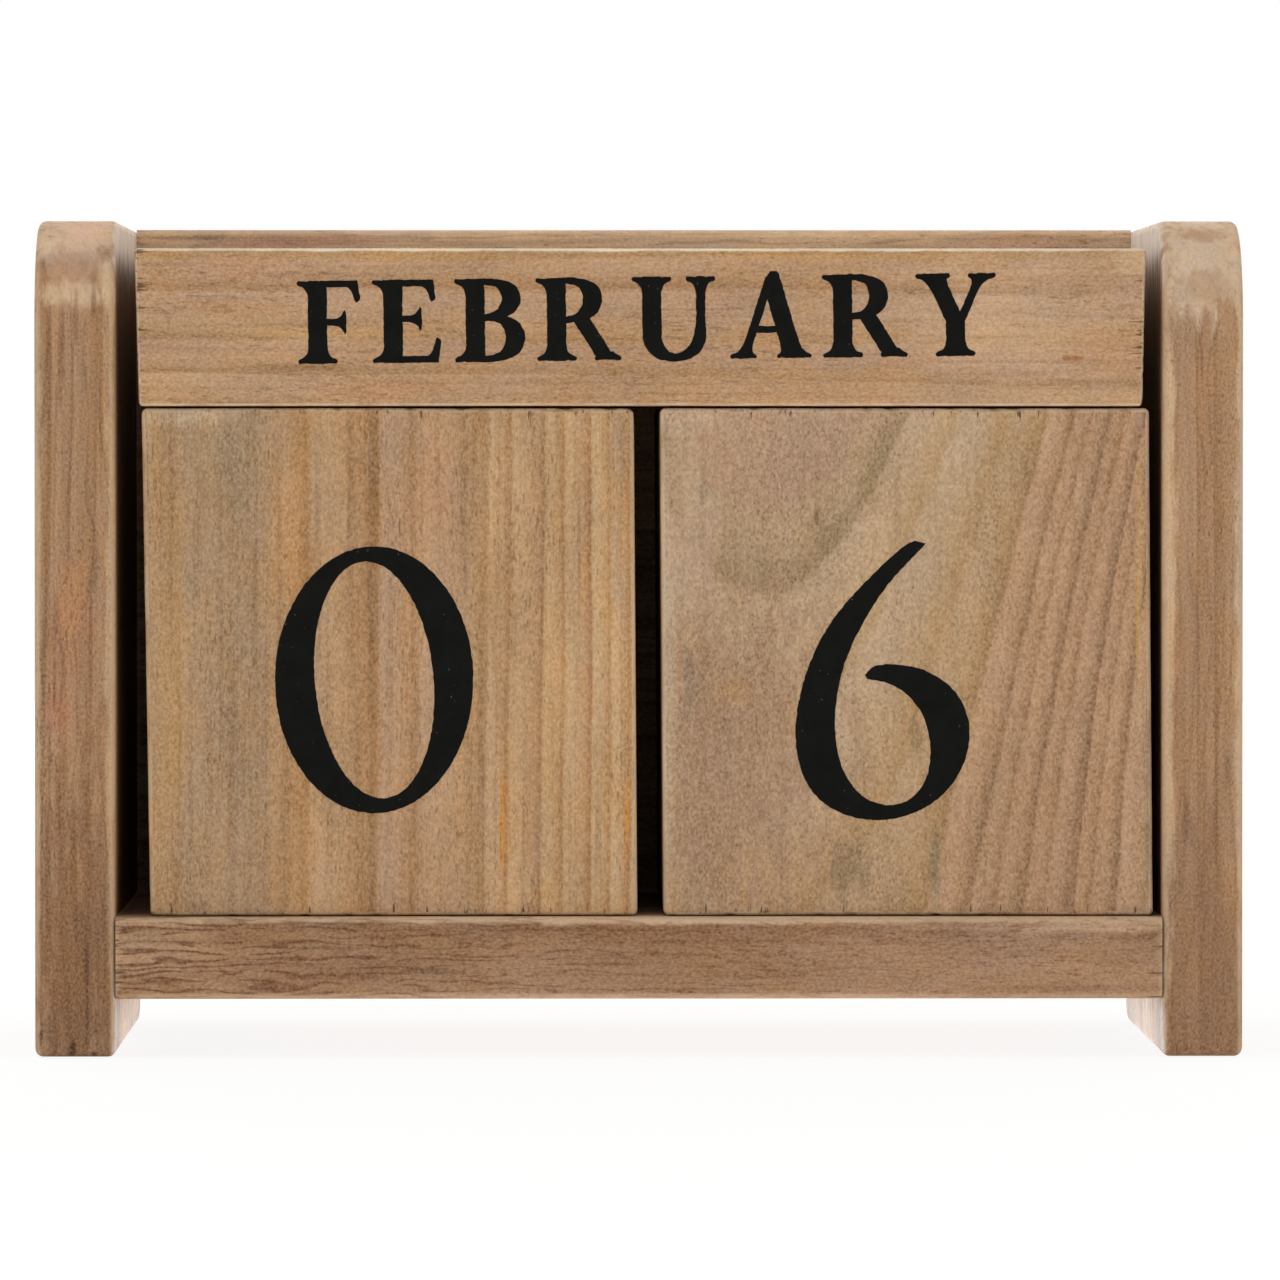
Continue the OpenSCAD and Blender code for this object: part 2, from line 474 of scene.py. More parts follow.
    def _fibres(self, board: Board, colour: Socket) -> Tuple[Socket, Socket]:
        """Adds long streaks, thin veins, short pore flecks and grit, fainter on a round head.

        Args:
            board: board that the material covers.
            colour: colour of the washed wood.

        Returns:
            Sockets with the colour and with the height of the brushed surface.
        """
        tree = board.tree
        fleck_colour = linear(self.palette.fleck)
        head_foot, head_top, head_strength = 14.0, 8.0, 0.35
        height = add_node(tree, "SeparateXYZ", inputs={0: board.place}, out="Z")
        brushed = add_node(tree, "MapRange", inputs={
            "Value": height, "From Min": board.half.z - head_foot,
            "From Max": board.half.z - head_top, "To Min": 1.0,
            "To Max": head_strength if self.rounded_head else 1.0})
        streak_depth, vein_depth, fleck_depth = [
            add_node(tree, "Math", MULTIPLY, {0: brushed, 1: strength})
            for strength in (self.streak, self.vein, self.fleck)]
        streak = self._noise(board, STREAK)
        streak_mask = add_node(tree, "MapRange", inputs={
            "Value": streak, "From Min": 0.48, "From Max": 0.74, "To Max": streak_depth})
        streaked = add_node(tree, "Mix", COLOURS, {
            0: streak_mask, 6: colour, 7: fleck_colour}, out=2)
        veined, vein_mask = self._veins(board, streaked, vein_depth)
        fleck = self._noise(board, Pattern(FLECK_WIDTH, self.fleck_length, 2.0, 6.0))
        region = self._noise(board, FLECK_REGION)
        fleck_cut = add_node(tree, "MapRange", inputs={
            "Value": region, "From Min": 0.35, "From Max": 0.65, "To Min": 0.67, "To Max": 0.55})
        fleck_over = add_node(tree, "Math", SUBTRACT, {0: fleck, 1: fleck_cut})
        fleck_mask = add_node(tree, "MapRange", inputs={
            "Value": fleck_over, "From Min": 0.0, "From Max": 0.08, "To Max": fleck_depth})
        flecked = add_node(tree, "Mix", COLOURS, {
            0: fleck_mask, 6: veined, 7: fleck_colour}, out=2)
        swing = 1.6 * self.grit
        grit = self._noise(board, GRIT)
        grit_share = add_node(tree, "MapRange", inputs={
            "Value": grit, "From Min": 0.25, "From Max": 0.75, "To Min": -swing, "To Max": swing})
        grit_depth = add_node(tree, "Math", MULTIPLY, {0: grit_share, 1: brushed})
        dust = add_node(tree, "VectorMath", SCALE, {0: linear(GRIT_DUST)[:3], "Scale": grit_depth})
        dusted = add_node(tree, "VectorMath", ADD, {0: flecked, 1: dust})
        gritty = add_node(tree, "VectorMath", MAXIMUM, {0: dusted, 1: linear(DARKEST_PORE)[:3]})
        relief = grit
        for hollow in (fleck_mask, vein_mask, streak_mask):
            relief = add_node(tree, "Math", SUBTRACT, {0: relief, 1: hollow})
        return gritty, relief

    def _veins(self, board: Board, colour: Socket, depth: Socket) -> Tuple[Socket, Socket]:
        """Draws thin dark veins that wind side by side along the grain, taper and break off.

        Args:
            board: board that the material covers.
            colour: colour under the veins.
            depth: how strongly the veins show, from 0 to 1.

        Returns:
            Sockets with the colour and with the veins' mask.
        """
        tree = board.tree
        across_x, across_y, along = add_node(
            tree, "SeparateXYZ", inputs={0: board.place}).node.outputs
        across = add_node(tree, "Math", MULTIPLY_ADD, {0: across_y, 1: 0.6, 2: across_x})
        bend = self._noise(board, Pattern(2.6 * self.vein_gap, self.vein_wave, 2.0, 5.0))
        shift = add_node(tree, "Math", MULTIPLY, {0: bend, 1: self.vein_bend})
        rows = add_node(tree, "Math", MULTIPLY_ADD, {0: across, 1: 1 / self.vein_gap, 2: shift})
        distance = add_node(tree, "Math", {"operation": "PINGPONG"}, {0: rows, 1: 0.5})
        left = add_node(tree, "MapRange", inputs={
            "Value": along, "From Min": -board.half.z, "From Max": board.half.z,
            "To Min": 1.0, "To Max": 1 - self.vein_fade})
        reach = add_node(tree, "Math", MULTIPLY, {0: left, 1: self.vein_width})
        faded_depth = add_node(tree, "Math", MULTIPLY, {0: left, 1: depth})
        broken = self._noise(board, Pattern(1.2 * self.vein_gap, 9.0, 2.0, 13.0))
        width = add_node(tree, "MapRange", inputs={
            "Value": broken, "From Min": 0.4, "From Max": 0.6, "To Max": reach})
        mask = add_node(tree, "MapRange", SMOOTH, {
            "Value": distance, "From Min": width, "From Max": 0.0, "To Max": faded_depth})
        veined = add_node(tree, "Mix", COLOURS, {
            0: mask, 6: colour, 7: linear(self.palette.fleck)}, out=2)
        return veined, mask

    def _edges(self, board: Board, colour: Socket) -> Socket:
        """Sands the wash off the edges and darkens the end grain and its torn fibres.

        Args:
            board: board that the material covers.
            colour: colour of the surface.

        Returns:
            Socket with the finished colour.
        """
        tree = board.tree
        normal = add_node(tree, "TexCoord", out="Normal")
        board_normal = add_node(tree, "Mapping", {"vector_type": "VECTOR"}, {
            "Vector": normal, "Rotation": self.grain.value})
        facing = add_node(tree, "VectorMath", MULTIPLY, {0: board_normal, 1: board_normal})
        reach = add_node(tree, "VectorMath", {"operation": "ABSOLUTE"}, {0: board.place})
        room = add_node(tree, "VectorMath", SUBTRACT, {0: board.half, 1: reach})
        worn = self._worn(board, facing, room)
        sanded = add_node(tree, "Mix", COLOURS, {
            0: worn, 6: colour, 7: linear(self.palette.worn)}, out=2)
        endwise = add_node(tree, "SeparateXYZ", inputs={0: facing}, out="Z")
        end_gain = add_node(tree, "MapRange", inputs={
            "Value": endwise, "From Min": 0.4, "From Max": 1.0,
            "To Min": 1.0, "To Max": self.end_gain})
        ended = add_node(tree, "VectorMath", SCALE, {0: sanded, "Scale": end_gain})
        to_end = add_node(tree, "SeparateXYZ", inputs={0: room}, out="Z")
        tear = self._noise(board, TEAR)
        tear_reach = add_node(tree, "MapRange", inputs={
            "Value": tear, "From Min": 0.56, "From Max": 0.72,
            "To Min": 0.0, "To Max": self.torn_length})
        tear_depth = add_node(tree, "Math", SUBTRACT, {0: tear_reach, 1: to_end})
        tear_amount = add_node(tree, "MapRange", inputs={
            "Value": endwise, "From Min": 0.1, "From Max": 0.8,
            "To Min": self.torn, "To Max": 0.15 * self.torn})
        tear_mask = add_node(tree, "MapRange", inputs={
            "Value": tear_depth, "From Min": 0.0, "From Max": 0.5, "To Max": tear_amount})
        return add_node(tree, "Mix", COLOURS, {
            0: tear_mask, 6: ended, 7: linear(TORN_FIBRE)}, out=2)

    def _worn(self, board: Board, facing: Socket, room: Socket) -> Socket:
        """Finds how much wash is sanded off, near the edges and on what is rounded.

        Args:
            board: board that the material covers.
            facing: share of each axis in the surface's direction.
            room: distance to the board's sides along each axis, in millimetres.

        Returns:
            Socket with the worn share, from 0 to 1.
        """
        tree = board.tree
        far_away = 40.0
        room_off_face = add_node(tree, "VectorMath", MULTIPLY_ADD, {
            0: facing, 1: (far_away, far_away, far_away), 2: room})
        (room_x, room_y, room_z), (facing_x, facing_y, facing_z) = [
            add_node(tree, "SeparateXYZ", inputs={0: vector}).node.outputs
            for vector in (room_off_face, facing)]
        near = add_node(tree, "Math", MINIMUM, {0: room_x, 1: room_y})
        nearest = add_node(tree, "Math", MINIMUM, {0: near, 1: room_z})
        upright_parts = ADD if self.rounded_head else MAXIMUM
        flattest = add_node(tree, "Math", upright_parts, {0: facing_y, 1: facing_z})
        flatness = add_node(tree, "Math", MAXIMUM, {0: flattest, 1: facing_x})
        scuff = self._noise(board, SCUFF)
        scuffed_width = add_node(tree, "Math", MULTIPLY, {0: scuff, 1: 2.6 * self.wear_width})
        flat_wear = add_node(tree, "MapRange", SMOOTH, {
            "Value": nearest, "From Min": scuffed_width, "From Max": 0.0, "To Max": self.wear})
        round_depth = add_node(tree, "MapRange", inputs={
            "Value": scuff, "From Min": 0.38, "From Max": 0.6, "To Min": 0.5 * self.wear,
            "To Max": min(1.0, 1.6 * self.wear)})
        round_wear = add_node(tree, "MapRange", inputs={
            "Value": flatness, "From Min": 0.97, "From Max": 0.75, "To Max": round_depth})
        return add_node(tree, "Math", MAXIMUM, {0: flat_wear, 1: round_wear})


@dataclass(frozen=True)
class Ink:
    """Black printing ink on brushed wood: thin, matt and worn to the wood in rare specks."""

    name: str = "black printing ink"
    black: str = "#0E0E0D"
    bare_wood: str = "#8A6C50"
    roughness: float = 0.6
    specks_per_mm: float = 1.9
    clouds_per_mm: float = 0.35
    grain_depth: float = 0.05

    def build(self) -> bpy.types.Material:
        """Makes the ink's material.

        Returns:
            The finished material.
        """
        material, tree = new_material(self.name)
        coords = add_node(tree, "TexCoord", out="Object")
        place = add_node(tree, "Mapping", inputs={
            "Vector": coords, "Scale": (1 / MM, 1 / MM, 1 / MM)})
        speck = add_node(tree, "TexNoise", inputs={
            "Vector": place, "Scale": self.specks_per_mm, "Detail": 2.0, "Roughness": 0.6})
        bare = add_node(tree, "MapRange", inputs={
            "Value": speck, "From Min": 0.73, "From Max": 0.77, "To Max": 0.5})
        cloud = add_node(tree, "TexNoise", inputs={
            "Vector": place, "Scale": self.clouds_per_mm, "Detail": 4.0, "Roughness": 0.6})
        depth = add_node(tree, "MapRange", inputs={
            "Value": cloud, "From Min": 0.3, "From Max": 0.7, "To Min": 0.75, "To Max": 1.35})
        black = add_node(tree, "VectorMath", SCALE, {0: linear(self.black)[:3], "Scale": depth})
        colour = add_node(tree, "Mix", COLOURS, {
            0: bare, 6: black, 7: linear(self.bare_wood)}, out=2)
        bump = add_node(tree, "Bump", inputs={
            "Strength": 0.25, "Distance": self.grain_depth * MM, "Height": speck})
        shader = add_node(tree, "BsdfPrincipled", inputs={
            "Base Color": colour, "Roughness": self.roughness, "Normal": bump,
            "Specular IOR Level": 0.05})
        add_node(tree, "OutputMaterial", inputs={"Surface": shader})
        return material


# ---- Lettering ----
# Capitals are drawn in units of which their height is 100. x starts at a letter's left edge
# and y at its foot. Numerals have the same units, and x starts at their middle.

CAPITAL = 100.0
THICK = 23.0
THIN = 11.0
HAIR = 8.0
SERIF = 7.0


def smooth_path(points: Sequence[Point], steps: int) -> Outline:
    """Runs a smooth curve through points, without loops or overshoot where they lie close.

    Args:
        points: points that the curve passes.
        steps: points to make for each span.

    Returns:
        The curve's points.
    """
    knots = [Vector(point) for point in points]
    knots = [2 * knots[0] - knots[1]] + knots + [2 * knots[-1] - knots[-2]]
    path = []
    for span in range(len(points) - 1):
        p = knots[span:span + 4]
        t = [0.0]
        for a, b in zip(p, p[1:]):
            t.append(t[-1] + math.sqrt((b - a).length))
        for step in range(steps):
            now = t[1] + (t[2] - t[1]) * step / steps
            first = [p[i].lerp(p[i + 1], (now - t[i]) / (t[i + 1] - t[i])) for i in range(3)]
            second = [first[i].lerp(first[i + 1], (now - t[i]) / (t[i + 2] - t[i]))
                      for i in range(2)]
            path.append(tuple(second[0].lerp(second[1], (now - t[1]) / (t[2] - t[1]))))
    return path + [tuple(points[-1])]


def arc(start: Point, bend: Point, end: Point, steps: int = 8) -> Outline:
    """Draws a simple curve that leaves start towards bend and reaches end from it.

    Args:
        start: first point.
        bend: point where the two end tangents meet.
        end: last point.
        steps: spans in the curve.

    Returns:
        The curve's points.
    """
    a, b, c = Vector(start), Vector(bend), Vector(end)
    ts = [i / steps for i in range(steps + 1)]
    return [tuple((1 - t) ** 2 * a + 2 * t * (1 - t) * b + t ** 2 * c) for t in ts]


@dataclass(frozen=True)
class Pen:
    """Broad nib: its half-widths across and down, and its turn in degrees."""

    across: float = THICK / 2
    down: float = HAIR / 2
    turn: float = 0.0

    def edge(self, heading: Vector) -> Vector:
        """Finds how far the nib's rim lies to the left of a stroke.

        Args:
            heading: direction that the stroke runs in.

        Returns:
            Offset from the stroke's middle to its left edge.
        """
        spin = Matrix.Rotation(math.radians(self.turn), 2)
        normal = spin.inverted() @ Vector((-heading.y, heading.x)).normalized()
        stretch = math.hypot(self.across * normal.x, self.down * normal.y)
        rim = Vector((self.across ** 2 * normal.x, self.down ** 2 * normal.y)) / stretch
        return spin @ rim


CAPITAL_PEN = Pen()
NUMERAL_PEN = Pen(7.4, 2.7, 4.0)


class Stroke(ABC):
    """Part of a letter or numeral, drawn as one or more closed outlines."""

    @abstractmethod
    def outlines(self) -> List[Outline]:
        """Returns the stroke's outlines, in the units of the letters."""


@dataclass(frozen=True)
class Stem(Stroke):
    """Upright stroke from x to x plus width."""

    x: float
    width: float = THICK
    low: float = 0.0
    high: float = CAPITAL

    def outlines(self) -> List[Outline]:
        """Returns the stroke's one outline."""
        right = self.x + self.width
        return [[(self.x, self.low), (right, self.low), (right, self.high), (self.x, self.high)]]


@dataclass(frozen=True)
class Slope(Stroke):
    """Slanted stroke with level ends: it starts at (x, y) and ends at (end_x, end_y)."""

    x: float
    y: float
    end_x: float
    end_y: float
    width: float = THICK

    def outlines(self) -> List[Outline]:
        """Returns the stroke's one outline."""
        return [[(self.x, self.y), (self.x + self.width, self.y),
                 (self.end_x + self.width, self.end_y), (self.end_x, self.end_y)]]


@dataclass(frozen=True)
class Wedge(Stroke):
    """Straight-sided stroke with any corners, such as a slanted one with a cut top."""

    corners: Tuple[Point, ...]

    def outlines(self) -> List[Outline]:
        """Returns the stroke's one outline."""
        return [list(self.corners)]


@dataclass(frozen=True)
class Serif(Stroke):
    """Slab at a stem's foot or head, with a bracket that eases it into the stem.

    left and right are the slab's ends, stem_left and stem_right the stem's sides, and rise
    is 1 at a foot and -1 at a head. lean is how far the stem runs to the right for each
    unit of height.
    """

    left: float
    right: float
    stem_left: float
    stem_right: float
    y: float = 0.0
    rise: float = 1.0
    bracket: float = 13.0
    lean: float = 0.0

    def outlines(self) -> List[Outline]:
        """Draws the slab and its two brackets.

        Returns:
            The slab's one outline.
        """
        middle = (self.left + self.right) / 2
        up = self.rise
        slab, corner, top = 0.75 * SERIF, 1.2 * SERIF, SERIF + self.bracket
        run = self.lean * top * up
        bend = self.lean * corner * up

        def at(x: float, height: float) -> Point:
            """Gives a point at a height over the slab's sole."""
            return (x, self.y + height * up)

        return [
            arc(at(self.left, 0), at(middle, 1.6), at(self.right, 0))
            + arc(at(self.right + 1.5, 2.5), at(self.right + 2, slab / 2), at(self.right, slab), 4)
            + arc(at(self.right - 2, slab + 1), at(self.stem_right + 1 + bend, corner),
                  at(self.stem_right + run, top))
            + arc(at(self.stem_left + run, top), at(self.stem_left - 1 + bend, corner),
                  at(self.left + 2, slab + 1))
            + arc(at(self.left, slab), at(self.left - 2, slab / 2), at(self.left - 1.5, 2.5), 4)
        ]


@dataclass(frozen=True)
class Arm(Stroke):
    """Level stroke from x to end_x with a beak at its end that reaches up and down.

    splay is how far the beak's points run past the end.
    """

    x: float
    end_x: float
    y: float
    beak_up: float = 0.0
    beak_down: float = 0.0
    splay: float = 3.0

    def outlines(self) -> List[Outline]:
        """Draws the arm and the beaks that it has.

        Returns:
            The arm's one outline.
        """
        side = math.copysign(1.0, self.end_x - self.x)
        top = self.y + HAIR

        def at(back: float, y: float) -> Point:
            """Gives the point that lies back from the arm's end."""
            return (self.end_x - side * back, y)

        root, bend, tip = 16.0, 7.0, 4.0
        outline = [(self.x, self.y)]
        if self.beak_down:
            low = self.y - self.beak_down
            outline += arc(at(root, self.y), at(bend, self.y), at(tip, low + 2))
            outline += arc(at(2, low - 1.5), at(-self.splay, low), at(-self.splay, low + 4), 4)
        else:
            outline.append((self.end_x, self.y))
        if self.beak_up:
            high = top + self.beak_up
            outline += arc(at(-self.splay, high - 4), at(-self.splay, high), at(2, high + 1.5), 4)
            outline += arc(at(tip, high - 2), at(bend, top), at(root, top))
        else:
            outline.append((self.end_x, top))
        return [outline + [(self.x, top)]]


@dataclass(frozen=True)
class Curve(Stroke):
    """Stroke of a broad nib along a smooth path, with its pressure at start and end.

    The pressure eases to full over a share of the path, and swell is how fast it does so.
    """

    path: Tuple[Point, ...]
    pen: Pen = CAPITAL_PEN
    start: float = 1.0
    end: float = 1.0
    ease: float = 0.35
    swell: float = 0.8

    def outlines(self) -> List[Outline]:
        """Draws both sides of the stroke.

        Returns:
            The stroke's one outline.
        """
        line = [Vector(p) for p in smooth_path(self.path, 10)]
        left, right = [], []
        for i, point in enumerate(line):
            heading = line[min(i + 1, len(line) - 1)] - line[max(i - 1, 0)]
            done = i / (len(line) - 1)
            rim = self.pen.edge(heading) * self._pressure(done)
            left.append(tuple(point + rim))
            right.append(tuple(point - rim))
        return [left + right[::-1]]

    def _pressure(self, done: float) -> float:
        """Works out how hard the nib presses.

        Args:
            done: share of the path that lies behind the nib.

        Returns:
            The pressure, from 0 to 1.
        """
        opening = self.start + (1 - self.start) * (done / self.ease) ** self.swell
        closing = self.end + (1 - self.end) * ((1 - done) / self.ease) ** self.swell
        return min(1.0, opening) * min(1.0, closing)


@dataclass(frozen=True)
class Ribbon(Stroke):
    """Swelling stroke between two smooth edges, which both run from its start to its end."""

    outer: Tuple[Point, ...]
    inner: Tuple[Point, ...]

    def outlines(self) -> List[Outline]:
        """Returns the stroke's one outline."""
        return [smooth_path(self.outer, 6) + smooth_path(self.inner, 6)[::-1]]


@dataclass(frozen=True)
class Oval(Stroke):
    """Round letter or numeral: an oval with a narrower, tilted oval hole."""

    x: float
    y: float
    width: float
    height: float
    hole_width: float
    hole_height: float
    tilt: float = 0.0

    def outlines(self) -> List[Outline]:
        """Draws the left half and the right half, which share a sliver at top and foot.

        Returns:
            The outlines of both halves.
        """
        halves = []
        overlap = step = 4
        for side in (0, 180):
            turns = range(side + 90 - overlap, side + 270 + overlap + 1, step)
            outer = [self._rim(t, self.width, self.height, 0.0) for t in turns]
            inner = [self._rim(t, self.hole_width, self.hole_height, self.tilt) for t in turns]
            halves.append(outer + inner[::-1])
        return halves

    def _rim(self, turn: float, width: float, height: float, tilt: float) -> Point:
        """Gives one point of an oval.

        Args:
            turn: direction of the point from the oval's middle, in degrees from its right.
            width: width of the oval.
            height: height of the oval.
            tilt: how far the oval leans to the left, in degrees.

        Returns:
            The point.
        """
        angle = math.radians(turn)
        lean = math.tan(math.radians(tilt))
        up = height / 2 * math.sin(angle)
        return (self.x + width / 2 * math.cos(angle) - lean * up, self.y + up)


@dataclass(frozen=True)
class Glyph:
    """A letter or numeral: its width and its strokes."""

    width: float
    strokes: Tuple[Stroke, ...]


def foot(left: float, right: float, reach: float = 11.0, lean: float = 0.0) -> Serif:
    """Serif under a stem that runs from left to right."""
    return Serif(left - reach, right + reach, left, right, lean=lean)


def head(left: float, right: float, reach: float = 11.0, lean: float = 0.0) -> Serif:
    """Serif over a stem that runs from left to right."""
    return Serif(left - reach, right + reach, left, right, CAPITAL, -1.0, lean=lean)


def corner_serifs(x: float = 12.0) -> Tuple[Serif, Serif]:
    """Serifs to the left of a stem at x whose right side carries arms or a bowl."""
    slab = (x - 12, x + THICK, x, x + THICK)
    return Serif(*slab), Serif(*slab, CAPITAL, -1.0)


CAPITALS: Dict[str, Glyph] = {
    "A": Glyph(98, (
        Slope(11, 0, 44, 98, THIN),
        Wedge(((66, 0), (89, 0), (60, 102), (57, 105), (50, 105), (44, 97), (41, 88))),
        Arm(25, 72, 31), foot(11, 22, 9, 0.337), foot(66, 89, 8, -0.28))),
    "B": Glyph(83, (
        Stem(12), *corner_serifs(),
        Curve(((20, 96), (42, 96), (60, 91), (67, 76), (60, 61), (42, 54), (26, 53))),
        Curve(((24, 53), (46, 53), (65, 46), (72, 28), (64, 11), (44, 4), (20, 4))))),
    "C": Glyph(94, (
        Curve(((84, 84), (70, 94), (50, 97), (28, 88), (14, 66), (13, 40), (24, 14), (48, 3),
               (68, 6), (86, 20)), end=0.4, ease=0.2),
        Serif(79, 87, 80, 86, 98, -1.0, 22))),
    "D": Glyph(100, (
        Stem(12), *corner_serifs(),
        Curve(((20, 96), (48, 95), (74, 84), (87, 52), (76, 18), (48, 4), (20, 4))))),
    "E": Glyph(84, (
        Stem(12), *corner_serifs(),
        Arm(20, 72, 92, beak_down=17), Arm(24, 58, 49, 9, 9, 0), Arm(20, 78, 0, beak_up=21))),
    "F": Glyph(76, (
        Stem(12), corner_serifs()[1], foot(12, 35),
        Arm(20, 72, 92, beak_down=17), Arm(24, 58, 46, 9, 9, 0))),
    "G": Glyph(102, (
        Curve(((84, 84), (70, 94), (50, 97), (28, 88), (14, 66), (13, 40), (24, 14), (48, 3),
               (66, 4), (82, 10))),
        Stem(68, THICK, 6, 42), Serif(60, 97, 68, 91, 44, -1.0, 8),
        Serif(79, 87, 80, 86, 98, -1.0, 22))),
    "H": Glyph(112, (
        Stem(12), foot(12, 35), head(12, 35), Stem(77), foot(77, 100), head(77, 100),
        Arm(30, 82, 47))),
    "I": Glyph(47, (Stem(12), foot(12, 35), head(12, 35))),
    "J": Glyph(48, (
        Stem(14, THICK, 6, 100), head(14, 37),
        Curve(((25.5, 20), (25, 2), (18, -12), (4, -20), (-6, -19)), end=0.8))),
    "L": Glyph(78, (
        Stem(12), foot(12, 30), head(12, 35), Arm(20, 72, 0, beak_up=23))),
    "M": Glyph(132, (
        Stem(14, THIN), foot(14, 25, 10), Slope(14, 98, 50, 0, THICK - 3),
        Slope(94, 100, 56, 0, THIN + 1), Stem(94), foot(94, 117), Serif(3, 26, 14, 25, 100, -1.0),
        Serif(97, 128, 97, 117, 100, -1.0))),
    "N": Glyph(104, (
        Stem(14, THIN), foot(14, 25, 10), Slope(12, 98, 70, -3, THICK), Stem(81, THIN, -3, 100),
        head(81, 92, 12), Serif(2, 26, 13, 25, 100, -1.0))),
    "O": Glyph(106, (Oval(53, 50, 104, 104, 60, 88, 9),)),
    "P": Glyph(80, (
        Stem(12), corner_serifs()[1], foot(12, 35),
        Curve(((20, 96), (44, 96), (64, 88), (70, 70), (62, 52), (44, 45), (26, 46))))),
    "R": Glyph(98, (
        Stem(12), corner_serifs()[1], foot(12, 35),
        Curve(((20, 96), (44, 96), (62, 89), (67, 73), (60, 57), (42, 50), (26, 50))),
        Slope(40, 54, 72, 2, THICK - 1), Serif(70, 100, 74, 92, 0.0, 1.0, 4))),
    "S": Glyph(74, (
        Curve(((60, 82), (50, 94), (36, 97), (20, 91), (16, 74), (28, 60), (48, 48), (60, 34),
               (58, 14), (42, 3), (24, 5), (13, 18)), Pen(11.0, 5.0, 18)),
        Serif(55, 63, 56, 62, 98, -1.0, 18), Serif(9, 17, 10, 16, 1, 1.0, 18))),
    "T": Glyph(90, (
        Stem(34), foot(34, 57), Arm(40, 86, 92, beak_down=18), Arm(50, 4, 92, beak_down=18))),
    "U": Glyph(104, (
        Stem(14, THICK, 30, 100), head(14, 37),
        Curve(((25.5, 44), (26.5, 22), (35, 8), (52, 2.5), (70, 7), (81.5, 22), (84.5, 44)),
              Pen(11.5, 5.0), end=0.48, ease=0.5),
        Stem(79, THIN, 43, 100), head(79, 90, 11))),
    "Y": Glyph(94, (
        Slope(8, 100, 35, 42, THICK), Slope(73, 100, 47, 42, THIN), Stem(35, THICK, 0, 44),
        foot(35, 58), head(8, 31, 8, -0.46), head(73, 84, 10, 0.45))),
}

NUMERALS: Dict[str, Glyph] = {
    "0": Glyph(72, (Oval(0, 48, 71.6, 96.4, 43, 85.6, 4),)),
    "1": Glyph(44, (
        Stem(-7, 14, 2, 97), Serif(-21, 21, -7, 7, 0, 1.0, 6),
        Curve(((-22, 80), (-13, 85), (-5, 91), (0, 96)), NUMERAL_PEN, start=0.7))),
    "2": Glyph(62, (
        Curve(((-23, 74), (-19, 87), (-5, 95), (11, 92), (20, 80), (19, 63), (6, 42),
               (-10, 23), (-24, 7)), NUMERAL_PEN, start=0.5, ease=0.2),
        Slope(-27, 0, -22, 11, 48), Arm(10, 24, 2, beak_up=12, splay=5))),
    "3": Glyph(56, (
        Curve(((-19, 82), (-10, 93), (3, 95), (15, 87), (17, 73), (8, 59), (-7, 52)),
              NUMERAL_PEN, start=0.5, ease=0.2),
        Curve(((-7, 53), (9, 52), (21, 42), (22, 23), (12, 7), (-4, 2.5), (-22, 7)),
              NUMERAL_PEN, end=0.5, ease=0.2))),
    "4": Glyph(70, (
        Slope(-33, 28, 2, 97, 6), Slope(-33, 25, -30, 33, 60), Stem(4, 14, 0, 97),
        Serif(-6, 28, 4, 18, 0, 1.0, 5))),
    "5": Glyph(56, (
        Slope(-19, 50, -13, 96, 5), Arm(-14, 18, 87, beak_up=6, splay=3), Stem(-14, 30, 86, 96),
        Curve(((-18, 52), (-4, 58), (12, 54), (22, 40), (21, 20), (10, 6), (-6, 2.5), (-22, 7)),
              NUMERAL_PEN, end=0.5, ease=0.2))),
    "6": Glyph(64, (
        Ribbon(((11.5, 100.8), (7.8, 99), (-6.3, 86), (-17.6, 73), (-25.2, 59.5), (-30.2, 43.5),
                (-31.5, 28.5), (-28.2, 14.6), (-20.5, 5.5), (-9, 0.6), (3, 0.3), (14.8, 4.2),
                (24, 11.6), (30, 22.5), (31, 35.5), (25.8, 46.6), (15, 54.1), (3, 56.2),
                (-3.6, 55.2), (-6.4, 52.4)),
               ((15.4, 99.8), (1, 84), (-8.2, 69.3), (-14, 56), (-16.9, 42), (-16.9, 28.5),
                (-13.6, 16.4), (-7, 8.4), (1, 5.4), (9, 7), (15, 13.5), (17.2, 24), (14.8, 37),
                (8.2, 45.8), (1, 49.6), (-5.8, 51))),)),
    "7": Glyph(60, (
        Slope(-25, 86, -27, 97, 50), Slope(14, 97, -14, 0, 13),
        Serif(-29, -23, -28, -24, 97, -1.0, 14))),
    "8": Glyph(58, (
        Oval(0, 74, 44, 45, 26, 37, 6), Oval(0, 27, 56, 53, 33, 43, 6))),
}


@dataclass(frozen=True)
class Face:
    """A flat face that takes ink: its middle, and its reading and upward directions."""

    middle: Vector
    right: Vector
    up: Vector

    def at(self, x: float, y: float, proud: float) -> Vector:
        """Gives the point at x and y on the face, in millimetres, standing proud of it."""
        normal = self.right.cross(self.up)
        return self.middle + (self.right * x + self.up * y + normal * proud) * MM


